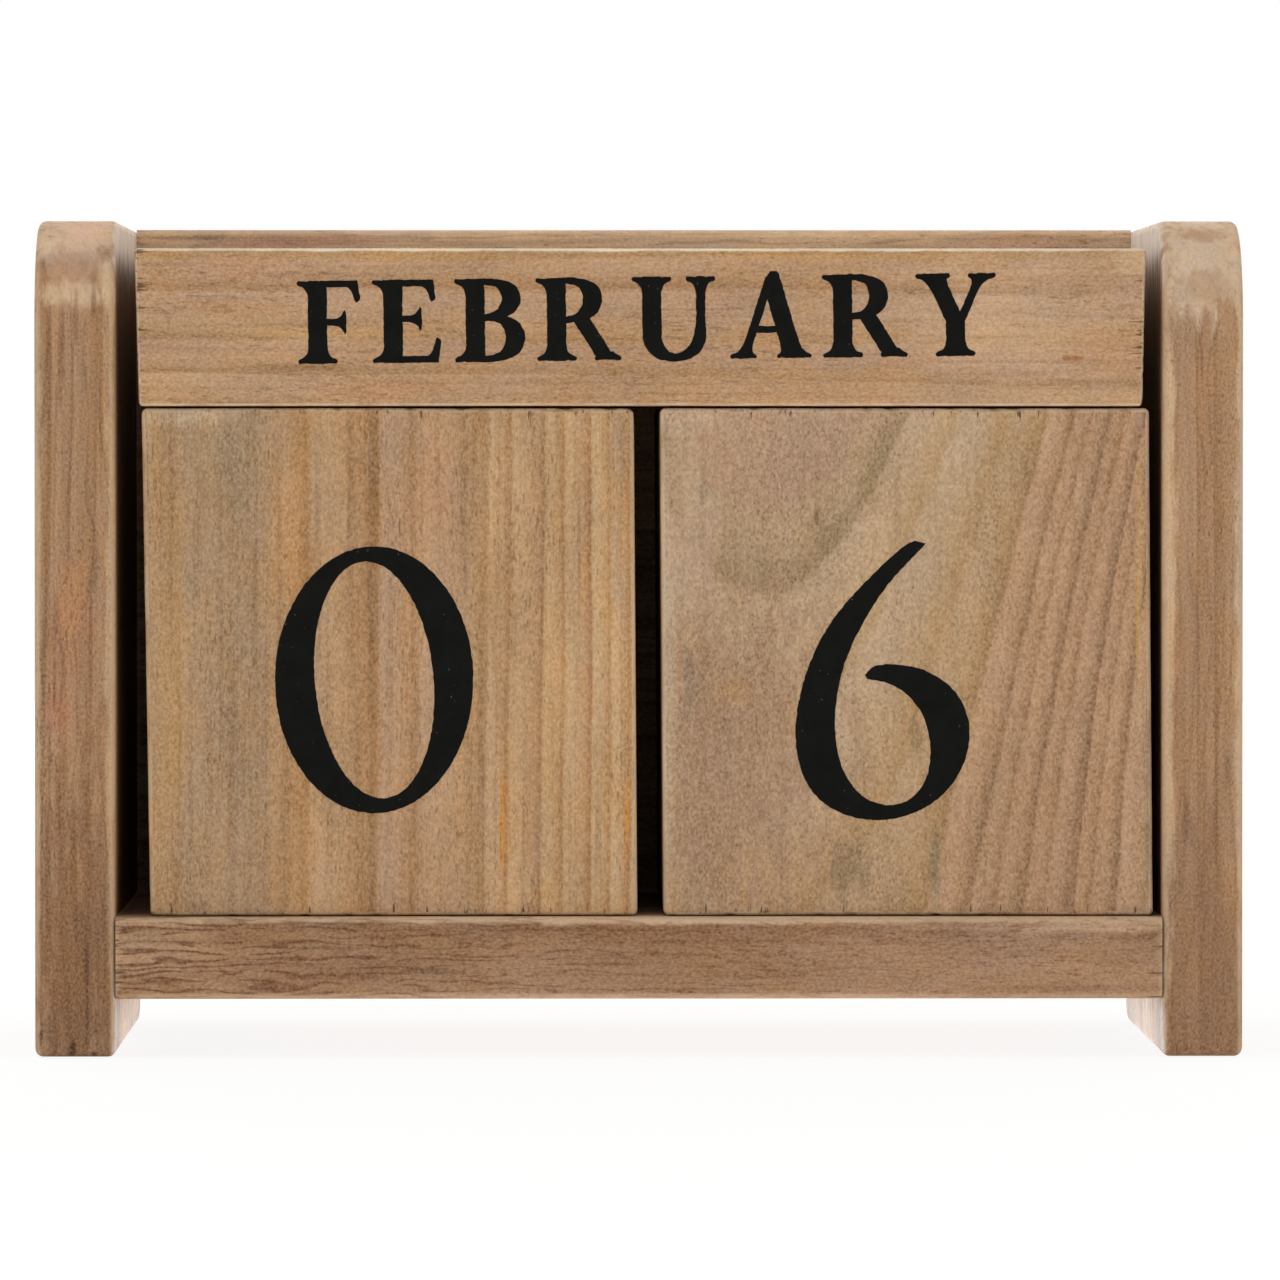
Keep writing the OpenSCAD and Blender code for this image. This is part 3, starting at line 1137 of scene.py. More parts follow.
@dataclass(frozen=True)
class Print:
    """One word or numeral printed on a face.

    height is that of a capital or of the numeral 6, and width sets the word's whole width
    by its letter spacing. x and y move its middle over the face, and turn is in degrees.
    """

    text: str
    height: float
    x: float = 0.0
    y: float = 0.0
    turn: float = 0.0
    width: Optional[float] = None
    spacing: float = 5.0

    def outlines(self) -> List[Outline]:
        """Lays the text out.

        Returns:
            Outlines of all strokes, in millimetres about the face's middle.
        """
        is_number = self.text.isdigit()
        glyphs = [(NUMERALS if is_number else CAPITALS)[letter] for letter in self.text]
        scale = self.height / CAPITAL
        natural = sum(glyph.width for glyph in glyphs)
        gaps = max(1, len(glyphs) - 1)
        spacing = self.spacing if self.width is None else (self.width / scale - natural) / gaps
        cursor = -(natural + spacing * (len(glyphs) - 1)) / 2
        spin = Matrix.Rotation(math.radians(self.turn), 2)
        # Soft stain, resin streak, crack, rubbed place or patch of painted light or shade in a
        # board.
        placed = []
        for glyph in glyphs:
            origin = cursor + glyph.width / 2 if is_number else cursor
            for stroke in glyph.strokes:
                for outline in stroke.outlines():
                    points = [Vector((p[0] + origin, p[1] - CAPITAL / 2)) * scale
                              for p in outline]
                    placed.append([tuple(spin @ p + Vector((self.x, self.y))) for p in points])
            cursor += glyph.width + spacing
        return placed


@dataclass(frozen=True)
class InkFilm:
    """Film of ink with slightly bled edges, which joins overlapping strokes into one sheet.

    Sizes are in millimetres: how far the film sinks below the wood and stands above it, the
    length of its edges' steps, how far and in what size its edges bleed, how close two of
    its corners have to lie to be one, the shortest edge of an outline, and how exactly
    outlines are cut where they cross. salt picks the bleeding's noise and seed keeps it the
    same from run to run. parting is how far corners that touch in one point are drawn back
    into their own part of the sheet.
    """

    below: float = 0.03
    above: float = 0.035
    step: float = 0.3
    bleed: float = 0.08
    bleed_size: float = 0.55
    weld: float = 0.002
    shortest: float = 1e-4
    exactness: float = 1e-5
    salt: float = 3.7
    seed: int = 1
    parting: float = 0.05

    def flat_sheet(self, outlines: Iterable[Outline]) -> bmesh.types.BMesh:
        """Joins overlapping outlines into one flat sheet of triangles.

        Args:
            outlines: closed outlines, in millimetres.

        Returns:
            The sheet, in millimetres.
        """
        points: List[Vector] = []
        loops: List[List[int]] = []
        for outline in outlines:
            dense = self._dense(outline)
            loops.append(list(range(len(points), len(points) + len(dense))))
            points += dense
        corners, _, triangles, _, _, sources = delaunay_2d_cdt(
            points, [], loops, 0, self.exactness, True)
        sheet = bmesh.new()
        verts = [sheet.verts.new(self._bled(corner).to_3d()) for corner in corners]
        for triangle, source in zip(triangles, sources):
            if source:
                sheet.faces.new([verts[i] for i in triangle])
        bmesh.ops.remove_doubles(sheet, verts=sheet.verts, dist=self.weld)
        loose = [vert for vert in sheet.verts if not vert.link_faces]
        bmesh.ops.delete(sheet, geom=loose, context="VERTS")
        for vert in list(sheet.verts):
            self._part(vert)
        return sheet

    def build(self, name: str, prints: Sequence[Tuple[Face, Print]]) -> Piece:
        """Makes one object that holds all the ink of a block.

        Args:
            name: name of the object.
            prints: each face with what is printed on it.

        Returns:
            The ink object.
        """
        noise.seed_set(self.seed)
        vertices: List[Vector] = []
        faces: List[List[int]] = []
        for face, text in prints:
            film = self.flat_sheet(text.outlines())
            grown = bmesh.ops.extrude_face_region(film, geom=film.faces[:])["geom"]
            top = {part for part in grown if isinstance(part, bmesh.types.BMVert)}
            for vert in film.verts:
                vert.co.z = self.above if vert in top else -self.below
            bmesh.ops.recalc_face_normals(film, faces=film.faces)
            film.verts.index_update()
            base = len(vertices)
            vertices += [face.at(*vert.co) for vert in film.verts]
            faces += [[base + vert.index for vert in side.verts] for side in film.faces]
            film.free()
        return make_object(name, vertices, faces, smooth=False)

    def _dense(self, outline: Outline) -> List[Vector]:
        """Splits an outline's long sides and runs it anticlockwise.

        Args:
            outline: closed outline, in millimetres.

        Returns:
            The outline's points, a step apart.
        """
        corners = [Vector(p) for p in outline]
        sides = zip(corners, corners[1:] + corners[:1])
        if sum(a.x * b.y - b.x * a.y for a, b in sides) < 0:
            corners.reverse()
        dense: List[Vector] = []
        for a, b in zip(corners, corners[1:] + corners[:1]):
            if (b - a).length < self.shortest:
                continue
            parts = max(1, math.ceil((b - a).length / self.step))
            dense += [a.lerp(b, i / parts) for i in range(parts)]
        return dense

    def _part(self, vert: bmesh.types.BMVert) -> None:
        """Parts two corners of a sheet that touch in one point, so that its rim stays simple.

        Args:
            vert: vertex of the sheet.
        """
        twins = bmesh.utils.vert_separate(vert, ())
        if len(twins) > 1:
            for twin in twins:
                middles = [side.calc_center_median() for side in twin.link_faces]
                twin.co = twin.co.lerp(sum(middles, Vector()) / len(middles), self.parting)

    def _bled(self, point: Vector) -> Vector:
        """Moves a point of the sheet as ink creeps along the fibres."""
        shift = noise.noise_vector(Vector((point.x, point.y, self.salt)) / self.bleed_size)
        return Vector((point.x + self.bleed * shift.x, point.y + self.bleed * shift.y))


# ---- Meshes ----


def make_object(name: str, vertices: Sequence[Vector], faces: Sequence[Sequence[int]],
                smooth: bool = True) -> Piece:
    """Makes a mesh object in the scene.

    Args:
        name: name of the object and its mesh.
        vertices: points, in metres.
        faces: corners of each face.
        smooth: whether its faces are shaded smooth.

    Returns:
        The new object.
    """
    mesh = bpy.data.meshes.new(name)
    mesh.from_pydata([tuple(v) for v in vertices], [], faces)
    mesh.validate()
    if smooth:
        mesh.shade_smooth()
    else:
        mesh.shade_flat()
    piece = bpy.data.objects.new(name, mesh)
    bpy.context.scene.collection.objects.link(piece)
    return piece


@dataclass(frozen=True)
class SawnBlock:
    """Block of wood with sanded edges, a little out of square, as a saw leaves it.

    Sizes are in millimetres. lean_left and lean_right say how far the left and the right
    face move to the left for each millimetre of height, from the block's middle. grain says
    along which axis, 0 for X or 2 for Z, the two sawn ends lie.

    The mesh has a lattice with a given step, longer by along in the grain's direction.
    uneven is how deep sanding wears the edges, within soften of them and in waves of
    wave_size. chip is how deep the saw chips the edges of its ends, within chip_reach of
    them, and chip_start is how rare those chips are. lift raises the block's underside and
    what lies within sole of it.
    """

    low: Vector
    high: Vector
    radius: float
    grain: int
    lean_left: float = 0.0
    lean_right: float = 0.0
    step: float = 0.7
    along: float = 2.5
    uneven: float = 0.12
    soften: float = 3.0
    wave_size: float = 7.0
    chip: float = 0.3
    chip_reach: float = 1.6
    chips_per_mm: float = 0.9
    chip_start: float = 0.25
    lift: float = 0.0
    sole: float = 2.0
    seed: float = 0.0

    def build(self, name: str) -> Piece:
        """Makes the block's mesh.

        Args:
            name: name of the object.

        Returns:
            The block.
        """
        rows = [self._rows(axis) for axis in range(3)]
        index: Dict[Tuple[int, int, int], int] = {}
        vertices: List[Vector] = []
        faces: List[List[int]] = []

        def corner(key: Tuple[int, int, int]) -> int:
            """Gives the vertex of a lattice point and makes it the first time.

            Args:
                key: row of the point along each axis.

            Returns:
                Index of the vertex.
            """
            if key not in index:
                index[key] = len(vertices)
                place = Vector([rows[axis][key[axis]] for axis in range(3)])
                vertices.append(self.shape(self._rounded(place)) * MM)
            return index[key]

        for axis in range(3):
            side_a, side_b = (axis + 1) % 3, (axis + 2) % 3
            for end in (0, len(rows[axis]) - 1):
                for i in range(len(rows[side_a]) - 1):
                    for j in range(len(rows[side_b]) - 1):
                        square = []
                        for a, b in ((i, j), (i + 1, j), (i + 1, j + 1), (i, j + 1)):
                            key = [0, 0, 0]
                            key[axis], key[side_a], key[side_b] = end, a, b
                            square.append(corner((key[0], key[1], key[2])))
                        faces.append(square if end else square[::-1])
        return make_object(name, vertices, faces)

    def shape(self, place: Vector) -> Vector:
        """Moves a point of the true block to where it lies on the real one.

        Args:
            place: point on the rounded block, in millimetres.

        Returns:
            The moved point.
        """
        middle = (self.low + self.high) / 2
        across = (place.x - self.low.x) / (self.high.x - self.low.x)
        lean = self.lean_left + (self.lean_right - self.lean_left) * across
        moved = place.copy()
        moved.x -= lean * (place.z - middle.z)
        gaps = [min(place[axis] - self.low[axis], self.high[axis] - place[axis])
                for axis in range(3)]
        edge = sorted(gaps)[1]
        softness = max(0.0, 1 - edge / self.soften) ** 2
        inward = (middle - place).normalized()
        wave = 0.5 + 0.5 * noise.noise(place / self.wave_size + Vector((self.seed, 0, 0)))
        moved += inward * self.uneven * softness * wave * 2
        if edge < self.chip_reach:
            torn = max(0.0, 1 - gaps[self.grain] / self.chip_reach) ** 2
            crumble = noise.noise(place * self.chips_per_mm + Vector((0, self.seed, 5)))
            moved += inward * self.chip * torn * max(0.0, crumble - self.chip_start) * 2
        moved.z += self.lift * max(0.0, 1 - (place.z - self.low.z) / self.sole)
        return moved

    def _rows(self, axis: int) -> List[float]:
        """Places the lattice's rows, closer together in the rounded edges.

        Args:
            axis: axis that the rows are spread along, 0 for X, 1 for Y or 2 for Z.

        Returns:
            The rows' places, in millimetres.
        """
        arc_turns = (0, 11, 22.5, 34, 45)
        rounding = [self.radius * math.tan(math.radians(turn)) for turn in arc_turns]
        near = (0.5, 1.1, 1.9)
        start, end = self.low[axis] + self.radius, self.high[axis] - self.radius
        rows = [start - r for r in reversed(rounding)] + [start + gap for gap in near]
        step = self.step * (self.along if axis == self.grain else 1.0)
        inner_start, inner_end = start + near[-1], end - near[-1]
        parts = max(1, round((inner_end - inner_start) / step))
        rows += [inner_start + (inner_end - inner_start) * i / parts for i in range(1, parts)]
        return rows + [end - gap for gap in reversed(near)] + [end + r for r in rounding]

    def _rounded(self, place: Vector) -> Vector:
        """Pulls a point of the lattice onto the block's rounded surface.

        Args:
            place: point on the sharp block, in millimetres.

        Returns:
            The point on the rounded block.
        """
        core = Vector([min(max(place[i], self.low[i] + self.radius), self.high[i] - self.radius)
                       for i in range(3)])
        return core + (place - core).normalized() * self.radius


def box_mm(node: str) -> Tuple[Vector, Vector]:
    """Gives a CAD node's lowest and highest corner in millimetres."""
    low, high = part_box(node)
    return low / MM, high / MM


def dress(piece: Piece, material: bpy.types.Material) -> None:
    """Puts one material on a piece."""
    piece.data.materials.clear()
    piece.data.materials.append(material)


# ---- Timbers ----

CUBE_PALETTE = Palette(line="#8F6C49", fleck="#6B5038", worn="#CFB694")
PINK_CUBE_PALETTE = Palette(line="#8C6C53", fleck="#6C543E", worn="#D0B999")
BAR_PALETTE = Palette(line="#9A7652", fleck="#76583E", worn="#DFCDB3")
FRAME_PALETTE = Palette(line="#7C5B42", fleck="#5C3E29", worn="#BDA182")
SHELF_PALETTE = Palette(line="#7C5B42", fleck="#66402A", worn="#BDA182")
DOWEL_PALETTE = Palette(line="#BFA175", fleck="#A88A60", worn="#DCC49C")

# Its rings run straight up the face: wide and greyish on the left, close and honey coloured
# on the right, with two amber resin streaks low down.
LEFT_CUBE_TIMBER = Timber(
    "quarter sawn pine, pale wash", CUBE_PALETTE,
    (Ring(14.2, "#A88866", "#AA8761", 0.2), Ring(10.5, "#A28464", "#A28363", 0.0),
     Ring(5.1, "#AA8661", "#A87F54", 0.3), Ring(8.7, "#B08D69", "#A67D55", 0.5),
     Ring(4.7, "#AE8C6D", "#AA835E", 0.35), Ring(8.7, "#AF8C6B", "#A8845E", 0.22),
     Ring(2.7, "#B5926C", "#B08860", 0.4), Ring(4.1, "#B8946D", "#AC8560", 0.4),
     Ring(2.5, "#BA976E", "#B1885D", 0.3), Ring(3.4, "#BA9770", "#AE845C", 0.5),
     Ring(2.2, "#BB9971", "#B2895C", 0.35), Ring(2.5, "#BC9972", "#AF865B", 0.45),
     Ring(3.2, "#BD9A73", "#B48C5A", 0.35)),
    (Mark((-20.0, -30.0, 26.0), (7.0, 14.0, 8.0), "#968063", 0.4),
     Mark((-27.3, -30.0, -3.0), (2.0, 14.0, 16.0), "#AE8A5C", 0.35),
     Mark((-12.6, -30.0, 17.0), (2.2, 10.0, 9.0), "#BE9060", 0.5),
     Mark((-2.6, -30.0, -20.0), (1.6, 8.0, 10.0), "#A9845A", 0.4),
     Mark((-10.4, -30.0, 13.0), (0.9, 8.0, 9.0), "#9A7049", 0.45),
     Mark((5.7, -30.0, 22.0), (3.2, 8.0, 7.0), "#BC8B67", 0.4),
     Mark((-26.0, -30.5, 31.0), (7.0, 8.0, 1.7), "#BFA98C", 0.45),
     Mark((13.9, -30.5, -21.0), (0.45, 1.5, 8.5), "#BE823E", 0.75),
     Mark((29.4, -30.5, -19.5), (0.35, 1.5, 7.0), "#C48840", 0.8),
     Mark((29.4, -30.5, 20.5), (0.35, 1.5, 4.0), "#BF7F55", 0.7),
     Mark((1.1, -30.5, 16.8), (0.16, 0.8, 1.4), "#64492F", 0.9)),
    first_radius=36.0, pith=(-75.0, -42.5), wander=1.0, ripple=0.25, wear=0.32, torn=0.85,
    torn_length=1.8, seed=1.0)

# The saw met its rings at a slant, so they lean and bow on the right, and the left is broad,
# pinkish early wood with smoky stains round an old knot.
RIGHT_CUBE_TIMBER = Timber(
    "plain sawn pine, pale wash", PINK_CUBE_PALETTE,
    (Ring(8.0, "#AF9077", "#AD8E74", 0.0), Ring(6.1, "#B09177", "#AB8B6F", 0.0),
     Ring(2.2, "#AC8F70", "#9D8364", 0.15), Ring(3.7, "#B49778", "#B0916C", 0.05),
     Ring(4.7, "#B49879", "#AC8B64", 0.15),
     Ring(3.8, "#AE8F6D", "#A3815A", 0.3), Ring(2.7, "#B28E6E", "#9B7958", 0.5),
     Ring(1.7, "#AC8969", "#A07C5C", 0.25), Ring(2.2, "#AE8A6A", "#937253", 0.6),
     Ring(1.6, "#AC8868", "#A07C5C", 0.2), Ring(2.4, "#AF8A6B", "#937254", 0.6),
     Ring(1.5, "#AC8767", "#A17D5D", 0.25), Ring(2.1, "#AD8969", "#957455", 0.55),
     Ring(3.0, "#B08D6E", "#A08060", 0.3)),
    (Mark((-22.0, -30.0, -13.0), (15.0, 20.0, 24.0), "#A08065", 0.9),
     Mark((-27.5, -30.0, 14.0), (5.0, 20.0, 9.0), "#B1947A", 0.7),
     Mark((-29.6, -30.0, -4.0), (1.1, 10.0, 28.0), "#B4A085", 0.5),
     Mark((-27.0, -30.0, 30.0), (5.0, 9.0, 2.4), "#B9A286", 0.4),
     Mark((-21.5, -30.0, -3.6), (2.4, 6.0, 2.0), "#B28A5C", 0.45),
     Mark((-27.0, -30.3, -2.5), (0.6, 3.0, 5.0), "#85715B", 0.5),
     Mark((-7.2, -30.3, -25.6), (2.2, 4.0, 3.8), "#7B6B50", 0.5),
     Mark((3.6, -30.3, -24.5), (1.2, 4.0, 5.0), "#7F7053", 0.65),
     Mark((1.0, -30.3, -9.5), (0.9, 3.0, 2.4), "#86704F", 0.5),
     Mark((-3.5, -30.3, 25.5), (1.4, 3.0, 3.5), "#8D7656", 0.45),
     Mark((-4.6, -30.3, 20.6), (1.5, 3.0, 3.2), "#85714F", 0.45),
     Mark((-9.8, -30.3, 15.4), (2.2, 3.0, 1.8), "#8C7553", 0.4),
     Mark((-11.2, -30.4, 18.0), (0.3, 1.5, 0.9), "#6E5038", 0.6),
     Mark((-17.5, -30.3, 12.2), (3.4, 3.0, 0.9), "#917A5A", 0.35),
     Mark((-25.0, -30.3, 21.5), (0.9, 3.0, 1.5), "#8A745C", 0.45),
     Mark((28.9, -30.3, 12.0), (0.5, 2.0, 16.0), "#C09A60", 0.5)),
    first_radius=14.0, pith=(-18.2, -62.4), pith_lean=(-0.012, 0.2133), pith_bow=0.0022,
    wander=0.8, ripple=0.3, streak=0.14, fleck=0.36, fleck_length=0.5, grit=0.165,
    blotch=0.3, tint=0.015, wear=0.36, torn=0.85, torn_length=1.8, seed=2.0)

# The three bars come from one plank, and each begins at another ring of it.
BAR_RINGS = (
    Ring(4.5, "#B5916D", "#AE885F", 0.2), Ring(3.2, "#B08D6E", "#A98462", 0.3),
    Ring(5.0, "#B8946C", "#B08A60", 0.1), Ring(3.4, "#B28E6C", "#A8815C", 0.3),
    Ring(5.8, "#B39070", "#AE8963", 0.2), Ring(4.0, "#B08C6C", "#AA8560", 0.3))

# Warm along its foot, with a pale top edge: sanded by the wear, and under a painted highlight
# line.
FRONT_BAR_TIMBER = Timber(
    "pine bar, pale wash", BAR_PALETTE, BAR_RINGS,
    (Mark((-49.0, -9.5, 7.3), (8.0, 8.0, 2.0), "#B98D6F", 0.45),
     Mark((-51.0, -9.5, 2.3), (8.0, 6.0, 1.3), "#A5774E", 0.4),
     Mark((-42.0, -9.5, -0.8), (12.0, 6.0, 1.1), "#BB9464", 0.45),
     Mark((-41.5, -9.7, -4.9), (7.5, 3.0, 0.5), "#86643F", 0.6),
     Mark((-30.0, -9.5, -7.6), (12.0, 6.0, 1.8), "#AC7F5F", 0.5),
     Mark((5.0, -9.5, -7.8), (45.0, 6.0, 2.4), "#A88261", 0.5),
     Mark((52.5, -9.7, 4.8), (10.0, 4.0, 1.4), "#947556", 0.5),
     Mark((47.0, -9.5, 0.5), (18.0, 6.0, 9.0), "#C3A282", 0.5),
     Mark((57.0, -9.5, -2.6), (5.0, 6.0, 3.0), "#BE8E66", 0.4),
     Mark((53.6, -9.7, -3.9), (1.7, 1.5, 0.4), "#96592F", 0.75),
     Mark((61.0, -9.7, 8.2), (3.0, 4.0, 2.0), "#C8AE8B", 0.5),
     # Painted highlight: a thin pale line along the top front edge, where the light catches it.
     Mark((0.0, -9.4, 9.7), (90.0, 3.0, 0.3), "#EEE2CC", 0.7)),
    Grain.ALONG_FRONT, 60.0, (-70.0, 30.0), (0.01, 0.0), wander=2.2, ripple=0.5,
    streak=0.3, fleck=0.38, wear_width=0.5, wear=0.32, torn=0.8, seed=3.0)

# Its top has one orange streak and one brown one.
MIDDLE_BAR_TIMBER = Timber(
    "pine bar with warm streaks, pale wash", BAR_PALETTE, BAR_RINGS[2:] + BAR_RINGS[:2],
    (Mark((-38.0, -4.0, 9.0), (14.0, 5.0, 4.0), "#B5845C", 0.4),
     Mark((30.0, 3.0, 9.0), (20.0, 2.0, 4.0), "#A98661", 0.4)),
    Grain.ALONG_FRONT, 48.0, (20.0, 62.0), (0.015, 0.01), wander=2.0, ripple=0.5,
    streak=0.35, fleck=0.4, wear_width=0.5, wear=0.36, torn=0.8, seed=4.0)

# Its rings cross the top closely, between two short warm patches.
REAR_BAR_TIMBER = Timber(
    "pine bar with close rings, pale wash", BAR_PALETTE, BAR_RINGS[3:] + BAR_RINGS[:3],
    (Mark((12.0, 2.0, 9.0), (11.0, 4.0, 4.0), "#B78E68", 0.4),
     Mark((-50.0, -3.0, 9.0), (9.0, 3.0, 4.0), "#A8835C", 0.4)),
    Grain.ALONG_FRONT, 52.0, (-50.0, -40.0), (0.0, 0.02), wander=1.6, ripple=0.6,
    streak=0.4, fleck=0.4, wear_width=0.5, wear=0.36, torn=0.8, seed=5.0)

# The frame's boards took the brown wash, which makes them duller and darker than the blocks.
BOARD_RINGS = (
    Ring(5.0, "#A38060", "#95714F", 0.4), Ring(3.5, "#A17E5F", "#977352", 0.3),
    Ring(6.0, "#9E7C5E", "#916E50", 0.45), Ring(4.0, "#A48162", "#967354", 0.3))

# Dark veins wind along the shelf's left half and thin out to the right, under a painted highlight
# on its top edge.
SHELF_TIMBER = Timber(
    "pine board, brown wash", SHELF_PALETTE, BOARD_RINGS,
    # Painted highlight: a pale band along the eased top edge, lit from above.
    (Mark((5.0, -36.0, 4.9), (75.0, 12.0, 0.8), "#CBAE8D", 0.8),
     Mark((55.0, -36.0, 3.9), (12.0, 12.0, 1.3), "#C0A183", 0.7),
     Mark((45.0, -36.0, -0.5), (34.0, 12.0, 6.0), "#A38267", 0.55),
     Mark((-60.0, -36.0, 1.5), (9.0, 12.0, 5.0), "#B08F6E", 0.6),
     Mark((0.0, -36.0, -4.9), (52.0, 10.0, 0.7), "#B4937E", 0.5),
     Mark((-27.0, -36.8, -1.7), (5.0, 3.0, 0.4), "#694A34", 0.6),
     Mark((-39.0, -36.8, 1.3), (7.0, 3.0, 0.26), "#694A34", 0.6),
     Mark((-22.0, -36.8, 2.0), (1.6, 3.0, 0.8), "#745238", 0.5),
     Mark((-40.0, -36.0, -1.0), (20.0, 8.0, 3.5), "#83624A", 0.5)),
    Grain.ALONG_FRONT, 40.0, (45.0, 40.0), (0.02, 0.0), wander=2.5, ripple=0.6,
    streak=0.3, vein=0.82, vein_fade=0.9, vein_gap=0.95, vein_width=0.5, vein_wave=12.0,
    vein_bend=4.4, fleck=0.38, grit=0.13, wear_width=0.6, wear=0.45, seed=6.0)

# Only its upper edge shows over the bars, sanded and lifted by a broad band of painted light.
BACK_BOARD_TIMBER = Timber(
    "pine back board, thin brown wash", FRAME_PALETTE,
    (Ring(5.0, "#AC8A6B", "#A07C5B", 0.4), Ring(3.5, "#AA886A", "#A3805F", 0.3),
     Ring(6.0, "#AE8D6D", "#9E7B5B", 0.4), Ring(4.0, "#A98768", "#A17D5D", 0.3)),
    # Painted light: a broad pale band over the strip that shows above the bars.
    (Mark((0.0, -4.9, 42.0), (120.0, 3.0, 5.0), "#DEBD98", 0.95),
     Mark((-45.0, -4.9, 41.5), (14.0, 3.0, 1.6), "#C6957A", 0.6),
     Mark((50.0, -4.9, 41.5), (12.0, 3.0, 1.6), "#CFA385", 0.6)),
    Grain.ALONG_FRONT, 55.0, (60.0, -40.0), (0.02, 0.0), wander=2.5, ripple=0.6,
    streak=0.4, vein=0.3, vein_gap=2.2, fleck=0.45, wear_width=0.6, torn=0.3, seed=7.0)

UPRIGHT_RINGS = (
    Ring(3.0, "#A3805F", "#9A7655", 0.25), Ring(2.2, "#A27E5F", "#9B7756", 0.2),
    Ring(3.6, "#A38060", "#987453", 0.3), Ring(2.6, "#A58262", "#9C7858", 0.2))

# A warm streak runs down its middle between pale edges, partly sanded and partly painted
# highlight. Its lower part is darker, partly wash and partly painted shade, and its foot is
# cracked. Its round head is partly sanded back to bare wood and partly painted light from
# above, and the inner faces of head and foot carry a pale painted reflection.
LEFT_UPRIGHT_TIMBER = Timber(
    "pine upright with a warm streak, brown wash", FRAME_PALETTE, UPRIGHT_RINGS,
    # Darker lower part: partly wash, partly painted shade where less light reaches.
    (Mark((0.0, -36.0, -40.0), (7.0, 80.0, 26.0), "#79573C", 0.76),
     Mark((-0.9, -36.5, -1.5), (3.6, 9.0, 12.0), "#A57355", 0.4),
     Mark((-0.6, -36.5, 5.8), (2.3, 9.0, 4.6), "#AE7B50", 0.4),
     Mark((-2.6, -36.5, -9.4), (1.8, 9.0, 3.4), "#A76C54", 0.4),
     # Pale round head: partly bare sanded wood, partly painted light from above.
     Mark((0.0, -30.0, 50.0), (7.0, 200.0, 4.4), "#CAAC8F", 0.85),
     Mark((1.4, -30.0, 51.0), (3.4, 18.0, 1.8), "#CDA488", 0.75),
     Mark((-4.0, -30.0, 49.6), (1.2, 60.0, 2.0), "#C3AD8C", 0.7),
     Mark((-0.3, -32.0, 46.3), (4.2, 30.0, 1.9), "#A6846A", 0.8),
     Mark((0.0, -36.0, 42.6), (7.0, 20.0, 1.7), "#C6AB8D", 0.75),
     Mark((3.9, -36.0, 44.2), (1.1, 20.0, 2.8), "#CBB08F", 0.7),
     # Pale long edges: partly sanded, partly painted highlight on the eased edges.
     Mark((4.5, -37.0, 2.0), (0.8, 4.0, 48.0), "#BA9B78", 0.76),
     Mark((-4.8, -37.0, 10.0), (0.7, 6.0, 48.0), "#B59B7C", 0.7),
     Mark((-1.8, -37.0, 35.0), (0.35, 6.0, 8.0), "#7E5B40", 0.6),
     Mark((0.2, -37.0, 39.5), (0.35, 6.0, 4.0), "#7E5B40", 0.5),
     Mark((3.3, -37.0, 30.0), (0.3, 4.0, 16.0), "#75592F", 0.5),
     Mark((-1.4, -37.0, 37.5), (0.4, 4.0, 5.5), "#70503A", 0.6),
     Mark((2.4, -37.0, 41.5), (0.4, 4.0, 2.4), "#70503A", 0.6),
     Mark((-2.5, -37.0, -1.5), (0.3, 4.0, 10.0), "#75543A", 0.5),
     Mark((2.0, -37.0, -2.5), (0.3, 4.0, 8.0), "#75543A", 0.5),
     Mark((1.5, -37.0, -43.4), (0.26, 4.0, 8.5), "#5E422E", 0.75),
     Mark((-0.4, -37.0, -51.2), (0.5, 2.0, 1.4), "#4E3624", 0.85),
     Mark((2.3, -37.0, -51.7), (0.5, 2.0, 0.8), "#4E3624", 0.85),
     Mark((-4.4, -37.0, -49.4), (0.4, 2.0, 1.0), "#4E3624", 0.8),
     # Painted reflection: the inner faces of foot and head, painted very pale.
     Mark((5.0, 0.0, -52.0), (0.5, 200.0, 10.0), "#E9E0D8", 1.0),
     Mark((5.0, 0.0, 52.0), (0.5, 200.0, 7.0), "#F0DDCB", 1.0)),
    first_radius=30.0, pith=(-40.0, -50.0), pith_lean=(0.01, 0.0), wander=1.2, ripple=0.4,
    streak=0.26, vein=0.28, vein_gap=1.9, fleck_length=1.1, grit=0.13, wear_width=0.6, wear=0.42,
    rounded_head=True, end_gain=1.0, seed=8.0)

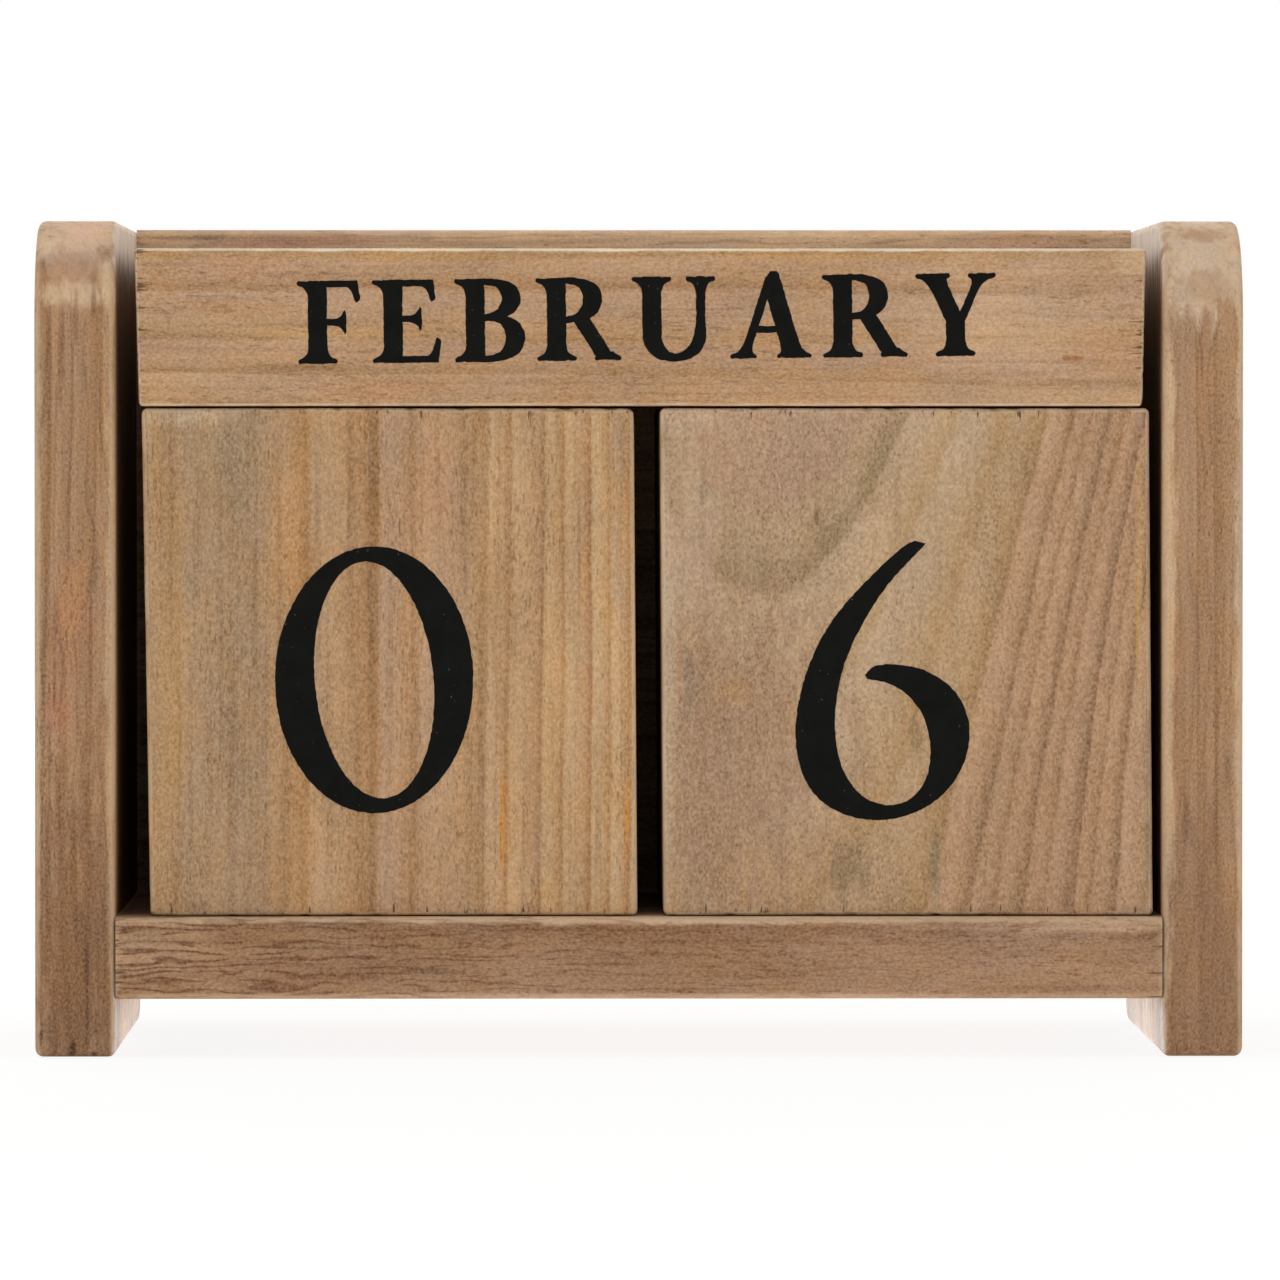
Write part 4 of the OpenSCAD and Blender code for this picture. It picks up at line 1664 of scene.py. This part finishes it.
# Even and brown between pale edges, partly sanded and partly painted highlight. Its lower
# part is darker, partly wash and partly painted shade, and it has the same head, partly bare
# and partly painted light, and the same pale painted reflection on the inner faces.
RIGHT_UPRIGHT_TIMBER = Timber(
    "pine upright, brown wash", FRAME_PALETTE, UPRIGHT_RINGS[2:] + UPRIGHT_RINGS[:2],
    # Darker lower part: partly wash, partly painted shade where less light reaches.
    (Mark((0.0, -36.0, -42.0), (7.0, 80.0, 26.0), "#86644A", 0.6),
     # Pale round head: partly bare sanded wood, partly painted light from above.
     Mark((0.0, -36.0, 48.2), (7.0, 200.0, 9.0), "#CBB093", 0.95),
     Mark((0.3, -30.0, 50.2), (3.3, 60.0, 0.9), "#AB8769", 0.8),
     Mark((0.3, -33.0, 43.9), (3.4, 40.0, 2.4), "#A98B6D", 0.8),
     # Pale long edges: partly sanded, partly painted highlight on the eased edges.
     Mark((-4.3, -37.0, 6.0), (1.1, 4.0, 50.0), "#C5A581", 0.86),
     Mark((4.8, -37.0, 6.0), (1.0, 6.0, 50.0), "#C5AB8D", 0.8),
     Mark((-3.3, -37.0, -8.0), (0.3, 3.0, 14.0), "#A3714F", 0.5),
     Mark((-0.2, -37.0, 34.0), (0.4, 4.0, 4.0), "#7A563E", 0.5),
     Mark((-2.0, -37.0, -22.0), (0.5, 4.0, 4.0), "#77553E", 0.5),
     # Painted reflection: the inner faces of foot and head, painted very pale.
     Mark((-5.0, 0.0, -52.0), (0.5, 200.0, 10.0), "#F2EFEC", 1.0),
     Mark((-5.0, 0.0, 52.0), (0.5, 200.0, 7.0), "#F5E6D6", 1.0)),
    first_radius=34.0, pith=(44.0, -46.0), pith_lean=(-0.01, 0.0), wander=1.2, ripple=0.4,
    streak=0.2, vein=0.2, vein_gap=1.9, fleck=0.36, fleck_length=0.7, grit=0.13,
    wear_width=0.6, wear=0.42, rounded_head=True, end_gain=1.0, seed=9.0)

# Beech has no wash and hardly any grain, so a drawn-out dowel would look clean and pale.
DOWEL_TIMBER = Timber(
    "turned beech dowel", DOWEL_PALETTE,
    (Ring(1.4, "#D8BE94", "#CBAE80", 0.3), Ring(1.1, "#D4BA90", "#CDB084", 0.3)),
    grain=Grain.ALONG_FRONT, first_radius=20.0, pith=(20.0, 20.0), wander=0.4, ripple=0.1,
    fleck=0.3, torn=0.2, wear=0.2, seed=12.0)


# ---- Sub-assemblies ----


@dataclass
class LooseBlock(ABC):
    """Block of wood with ink on its faces, which stands in for the CAD's bare one.

    wood_slot is kept but not used, and ink_name ends the name of its ink.
    """

    node: str
    body: str
    timber: Timber

    wood_slot: ClassVar[str]
    ink_name: ClassVar[str]

    def build(self) -> List[Piece]:
        """Builds the block and its ink.

        Returns:
            The block and its ink.
        """
        low, high = box_mm(self.node)
        wood = self._sawn(low, high).build(self.node.rsplit("_", 1)[0] + "_block")
        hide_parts(self.node)
        film = InkFilm().build(self.body + self.ink_name, self._prints(low, high))
        for piece in (wood, film):
            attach(piece, self.body)
        return [wood, film]

    def dress(self, pieces: Sequence[Piece], ink: bpy.types.Material) -> None:
        """Puts timber and ink on the pieces.

        Args:
            pieces: the block and its ink.
            ink: the ink's material.
        """
        low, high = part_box(self.node)
        dress(pieces[0], self.timber.build(low, high))
        dress(pieces[1], ink)

    @abstractmethod
    def _sawn(self, low: Vector, high: Vector) -> SawnBlock:
        """Describes the bare block between two corners, in millimetres."""

    @abstractmethod
    def _prints(self, low: Vector, high: Vector) -> List[Tuple[Face, Print]]:
        """Places what is printed on the block between two corners, in millimetres."""


@dataclass
class NumberCube(LooseBlock):
    """Loose cube with a numeral on each face, drawn out of the frame by hand.

    numerals are read on the front, back, left, right, top and bottom face. numeral_x and
    numeral_y move the front one from the middle of its face, and all sizes are in
    millimetres. sole_lift keeps the cube's underside off the shelf.
    """

    numerals: str
    lean_left: float
    lean_right: float
    numeral_x: float
    numeral_y: float
    numeral_height: float = 34.4
    edge_radius: float = 0.7
    sole_lift: float = 0.06

    wood_slot: ClassVar[str] = "cube_wood"
    ink_name: ClassVar[str] = "_numerals"

    def _sawn(self, low: Vector, high: Vector) -> SawnBlock:
        """Describes the cube, with its sawn ends at top and bottom."""
        return SawnBlock(low, high, self.edge_radius, 2, self.lean_left, self.lean_right,
                         lift=self.sole_lift, seed=self.timber.seed)

    def _prints(self, low: Vector, high: Vector) -> List[Tuple[Face, Print]]:
        """Places a numeral on each of the six faces.

        Args:
            low: lowest corner of the cube, in millimetres.
            high: highest corner of the cube, in millimetres.

        Returns:
            Each face with its numeral.
        """
        middle = (low + high) / 2
        half = (high - low) / 2
        x, y, z = X_AXIS, Y_AXIS, Z_AXIS
        up_left = (z - x * self.lean_left).normalized()
        up_right = (z - x * self.lean_right).normalized()
        faces = [
            Face((middle - y * half.y) * MM, x, z),
            Face((middle + y * half.y) * MM, -x, z),
            Face((middle - x * half.x) * MM, -y, up_left),
            Face((middle + x * half.x) * MM, y, up_right),
            Face((middle + z * half.z) * MM, x, y),
            Face((middle - z * (half.z - self.sole_lift)) * MM, x, -y),
        ]
        prints = [Print(numeral, self.numeral_height) for numeral in self.numerals]
        prints[0] = replace(prints[0], x=self.numeral_x, y=self.numeral_y)
        return list(zip(faces, prints))


@dataclass
class MonthBar(LooseBlock):
    """Loose square bar with a month on each long face, lifted out and rolled by hand.

    months are read on the front, top, back and bottom face. front_width, front_x, front_y
    and front_turn set the first of them, in millimetres and degrees. spread_left and
    spread_right are how far the bar's ends lean outwards for each millimetre of height.
    """

    months: Tuple[str, str, str, str]
    cap_height: float = 10.3
    front_width: Optional[float] = None
    front_x: float = 0.0
    front_y: float = 0.0
    front_turn: float = 0.0
    spread_left: float = 0.03
    spread_right: float = 0.02
    edge_radius: float = 0.5

    wood_slot: ClassVar[str] = "bar_wood"
    ink_name: ClassVar[str] = "_months"

    def _sawn(self, low: Vector, high: Vector) -> SawnBlock:
        """Describes the bar, with its sawn ends at left and right."""
        return SawnBlock(low, high, self.edge_radius, 0, self.spread_left, -self.spread_right,
                         step=0.5, uneven=0.06, seed=self.timber.seed)

    def _prints(self, low: Vector, high: Vector) -> List[Tuple[Face, Print]]:
        """Places a month on each of the four long faces.

        Args:
            low: lowest corner of the bar, in millimetres.
            high: highest corner of the bar, in millimetres.

        Returns:
            Each long face with its month.
        """
        middle = (low + high) / 2
        half = (high - low) / 2
        x, y, z = X_AXIS, Y_AXIS, Z_AXIS
        faces = [Face((middle - y * half.y) * MM, x, z), Face((middle + z * half.z) * MM, x, y),
                 Face((middle + y * half.y) * MM, x, -z), Face((middle - z * half.z) * MM, x, -y)]
        prints = [Print(month, self.cap_height) for month in self.months]
        prints[0] = replace(prints[0], x=self.front_x, y=self.front_y, turn=self.front_turn,
                            width=self.front_width)
        return list(zip(faces, prints))


@dataclass
class OpenFrame:
    """Two uprights with a shelf and a back board doweled between them."""

    boards: Tuple[Tuple[str, Timber], ...]
    dowels: Tuple[str, str] = ("shelf_dowels", "back_dowels")

    def dress(self) -> List[Piece]:
        """Puts timber on the frame's boards and dowels, which keep their own meshes.

        Returns:
            The dressed pieces.
        """
        pieces = []
        for node, timber in self.boards + tuple((dowel, DOWEL_TIMBER) for dowel in self.dowels):
            low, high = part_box(node)
            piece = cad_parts[node]
            dress(piece, timber.build(low, high))
            pieces.append(piece)
        return pieces


@dataclass(frozen=True)
class Softbox:
    """Square softbox: the place of its middle and its side in metres, its power in watts."""

    name: str
    place: Place
    side: float
    power: float

    def hang(self, target: Vector) -> None:
        """Hangs the softbox so that it faces a point, out of the camera's sight.

        Args:
            target: point that the softbox faces, in metres.
        """
        data = bpy.data.lights.new(self.name, "AREA")
        data.size = self.side
        data.energy = self.power
        lamp = bpy.data.objects.new(self.name, data)
        lamp.location = self.place
        lamp.rotation_euler = (target - lamp.location).to_track_quat("-Z", "Y").to_euler()
        lamp.visible_camera = False
        bpy.context.scene.collection.objects.link(lamp)


SOFTBOXES = (
    Softbox("left softbox", (-1.05, -1.15, 0.6), 1.0, 5.2),
    Softbox("right softbox", (1.05, -1.15, 0.5), 1.0, 4.4),
    Softbox("top softbox", (-0.1, -0.1, 1.3), 0.9, 6.0),
    Softbox("back softbox", (0.05, 1.3, 0.55), 1.4, 13.0))


@dataclass(frozen=True)
class Studio:
    """Camera, soft lights, a white surround and the light table under the calendar.

    eye, target and the floor's sizes are in metres, lens and sensor in millimetres. ambient
    is how strongly the surround lights the calendar, table_lamp and table_glow how strongly
    the table does so under the calendar and round it. lamp_start and lamp_end are where
    one gives way to the other, and lamp_depth squeezes that oval from front to back.
    """

    eye: Place = (-0.0123, -1.207, 0.0778)
    target: Place = (0.0001, -0.037, 0.0518)
    lens: float = 265.3
    sensor: float = 36.0
    floor_half: float = 6.0
    floor_drop: float = 0.0001
    ambient: float = 0.4
    table_glow: float = 0.42
    table_lamp: float = 1.1
    lamp_start: float = 0.072
    lamp_end: float = 0.095
    lamp_depth: float = 2.2

    def build(self) -> None:
        """Builds the camera, the lights, the surround and the floor."""
        self._camera()
        for softbox in SOFTBOXES:
            softbox.hang(Vector(self.target))
        self._surround()
        self._floor()

    def _camera(self) -> None:
        """Places the camera in front of the calendar, a little to its left."""
        data = bpy.data.cameras.new("camera")
        data.lens = self.lens
        data.sensor_width = self.sensor
        data.clip_start = 0.05
        data.clip_end = 50.0
        camera = bpy.data.objects.new("camera", data)
        camera.location = self.eye
        view = Vector(self.target) - Vector(self.eye)
        camera.rotation_euler = view.to_track_quat("-Z", "Y").to_euler()
        bpy.context.scene.collection.objects.link(camera)
        bpy.context.scene.camera = camera

    def _surround(self) -> None:
        """Makes a world that looks white and lights the calendar softly."""
        world = bpy.data.worlds.new("white surround")
        world.use_nodes = True
        tree = world.node_tree
        tree.nodes.clear()
        path = add_node(tree, "LightPath").node
        seen = add_node(tree, "Math", MAXIMUM, {
            0: path.outputs["Is Camera Ray"], 1: path.outputs["Is Glossy Ray"]})
        direct = add_node(tree, "Math", MAXIMUM, {0: seen, 1: path.outputs["Is Transmission Ray"]})
        strength = add_node(tree, "MapRange", inputs={
            "Value": direct, "To Min": self.ambient, "To Max": 1.0})
        light = add_node(tree, "Background", inputs={
            "Color": (1.0, 1.0, 1.0, 1.0), "Strength": strength})
        add_node(tree, "OutputWorld", inputs={"Surface": light})
        bpy.context.scene.world = world

    def _floor(self) -> None:
        """Lays the pale floor, a light table that keeps the calendar's soft shadow."""
        half = self.floor_half
        corners = [Vector((x, y, -self.floor_drop)) for x, y in
                   ((-half, -half), (half, -half), (half, half), (-half, half))]
        floor = make_object("floor", corners, [[0, 1, 2, 3]], smooth=False)
        material, tree = new_material("pale matt floor")
        path = add_node(tree, "LightPath").node
        matt = add_node(tree, "BsdfDiffuse", inputs={"Color": linear("#E9E9E7")})
        coords = add_node(tree, "TexCoord", out="Object")
        away = add_node(tree, "VectorMath", LENGTH, {0: coords}, out="Value")
        shares = add_node(tree, "VectorMath", MULTIPLY,
                          {0: coords, 1: (1.0, self.lamp_depth, 0.0)})
        off_lamp = add_node(tree, "VectorMath", LENGTH, {0: shares}, out="Value")
        lamp = add_node(tree, "MapRange", inputs={
            "Value": off_lamp, "From Min": self.lamp_start, "From Max": self.lamp_end,
            "To Min": self.table_lamp, "To Max": self.table_glow})
        lit = add_node(tree, "Emission", inputs={"Color": (1.0, 1.0, 1.0, 1.0), "Strength": lamp})
        plain = add_node(tree, "AddShader", inputs={0: matt, 1: lit})
        faint = add_node(tree, "BsdfDiffuse", inputs={"Color": linear("#666664")})
        strength = add_node(tree, "MapRange", inputs={
            "Value": away, "From Min": 0.3, "From Max": 2.0, "To Min": 0.88, "To Max": 0.95})
        glow = add_node(tree, "Emission", inputs={
            "Color": (1.0, 1.0, 1.0, 1.0), "Strength": strength})
        shown = add_node(tree, "AddShader", inputs={0: faint, 1: glow})
        shader = add_node(tree, "MixShader", inputs={
            0: path.outputs["Is Camera Ray"], 1: plain, 2: shown})
        add_node(tree, "OutputMaterial", inputs={"Surface": shader})
        dress(floor, material)


def main() -> None:
    """Builds and dresses the calendar, piece by piece, and sets it in the studio."""
    logging.basicConfig(level=logging.INFO, format="%(message)s")
    bpy.context.scene.view_settings.view_transform = "Standard"
    Studio().build()
    ink = Ink().build()
    open_frame = OpenFrame((
        ("left_upright", LEFT_UPRIGHT_TIMBER), ("right_upright", RIGHT_UPRIGHT_TIMBER),
        ("shelf", SHELF_TIMBER), ("back_board", BACK_BOARD_TIMBER)))
    for piece in open_frame.dress():
        LOG.info("frame piece %s", piece.name)
    blocks = [
        NumberCube("left_number_cube", "left_cube", LEFT_CUBE_TIMBER, "032145",
                   0.0164, 0.0072, -2.05, -1.5),
        NumberCube("right_number_cube", "right_cube", RIGHT_CUBE_TIMBER, "680127",
                   0.007, 0.0086, -2.95, -2.4),
        MonthBar("front_month_bar", "front_bar", FRONT_BAR_TIMBER,
                 ("FEBRUARY", "MARCH", "APRIL", "JANUARY"), front_width=86.5,
                 front_x=0.73, front_y=1.1, front_turn=0.7),
        MonthBar("middle_month_bar", "middle_bar", MIDDLE_BAR_TIMBER,
                 ("MAY", "JUNE", "JULY", "AUGUST")),
        MonthBar("rear_month_bar", "rear_bar", REAR_BAR_TIMBER,
                 ("SEPTEMBER", "OCTOBER", "11", "DECEMBER")),
    ]
    for block in blocks:
        pieces = block.build()
        block.dress(pieces, ink)
        LOG.info("block %s with %d faces", pieces[0].name, len(pieces[0].data.polygons))
        LOG.info("ink %s with %d faces", pieces[1].name, len(pieces[1].data.polygons))


if __name__ == "__main__":
    main()
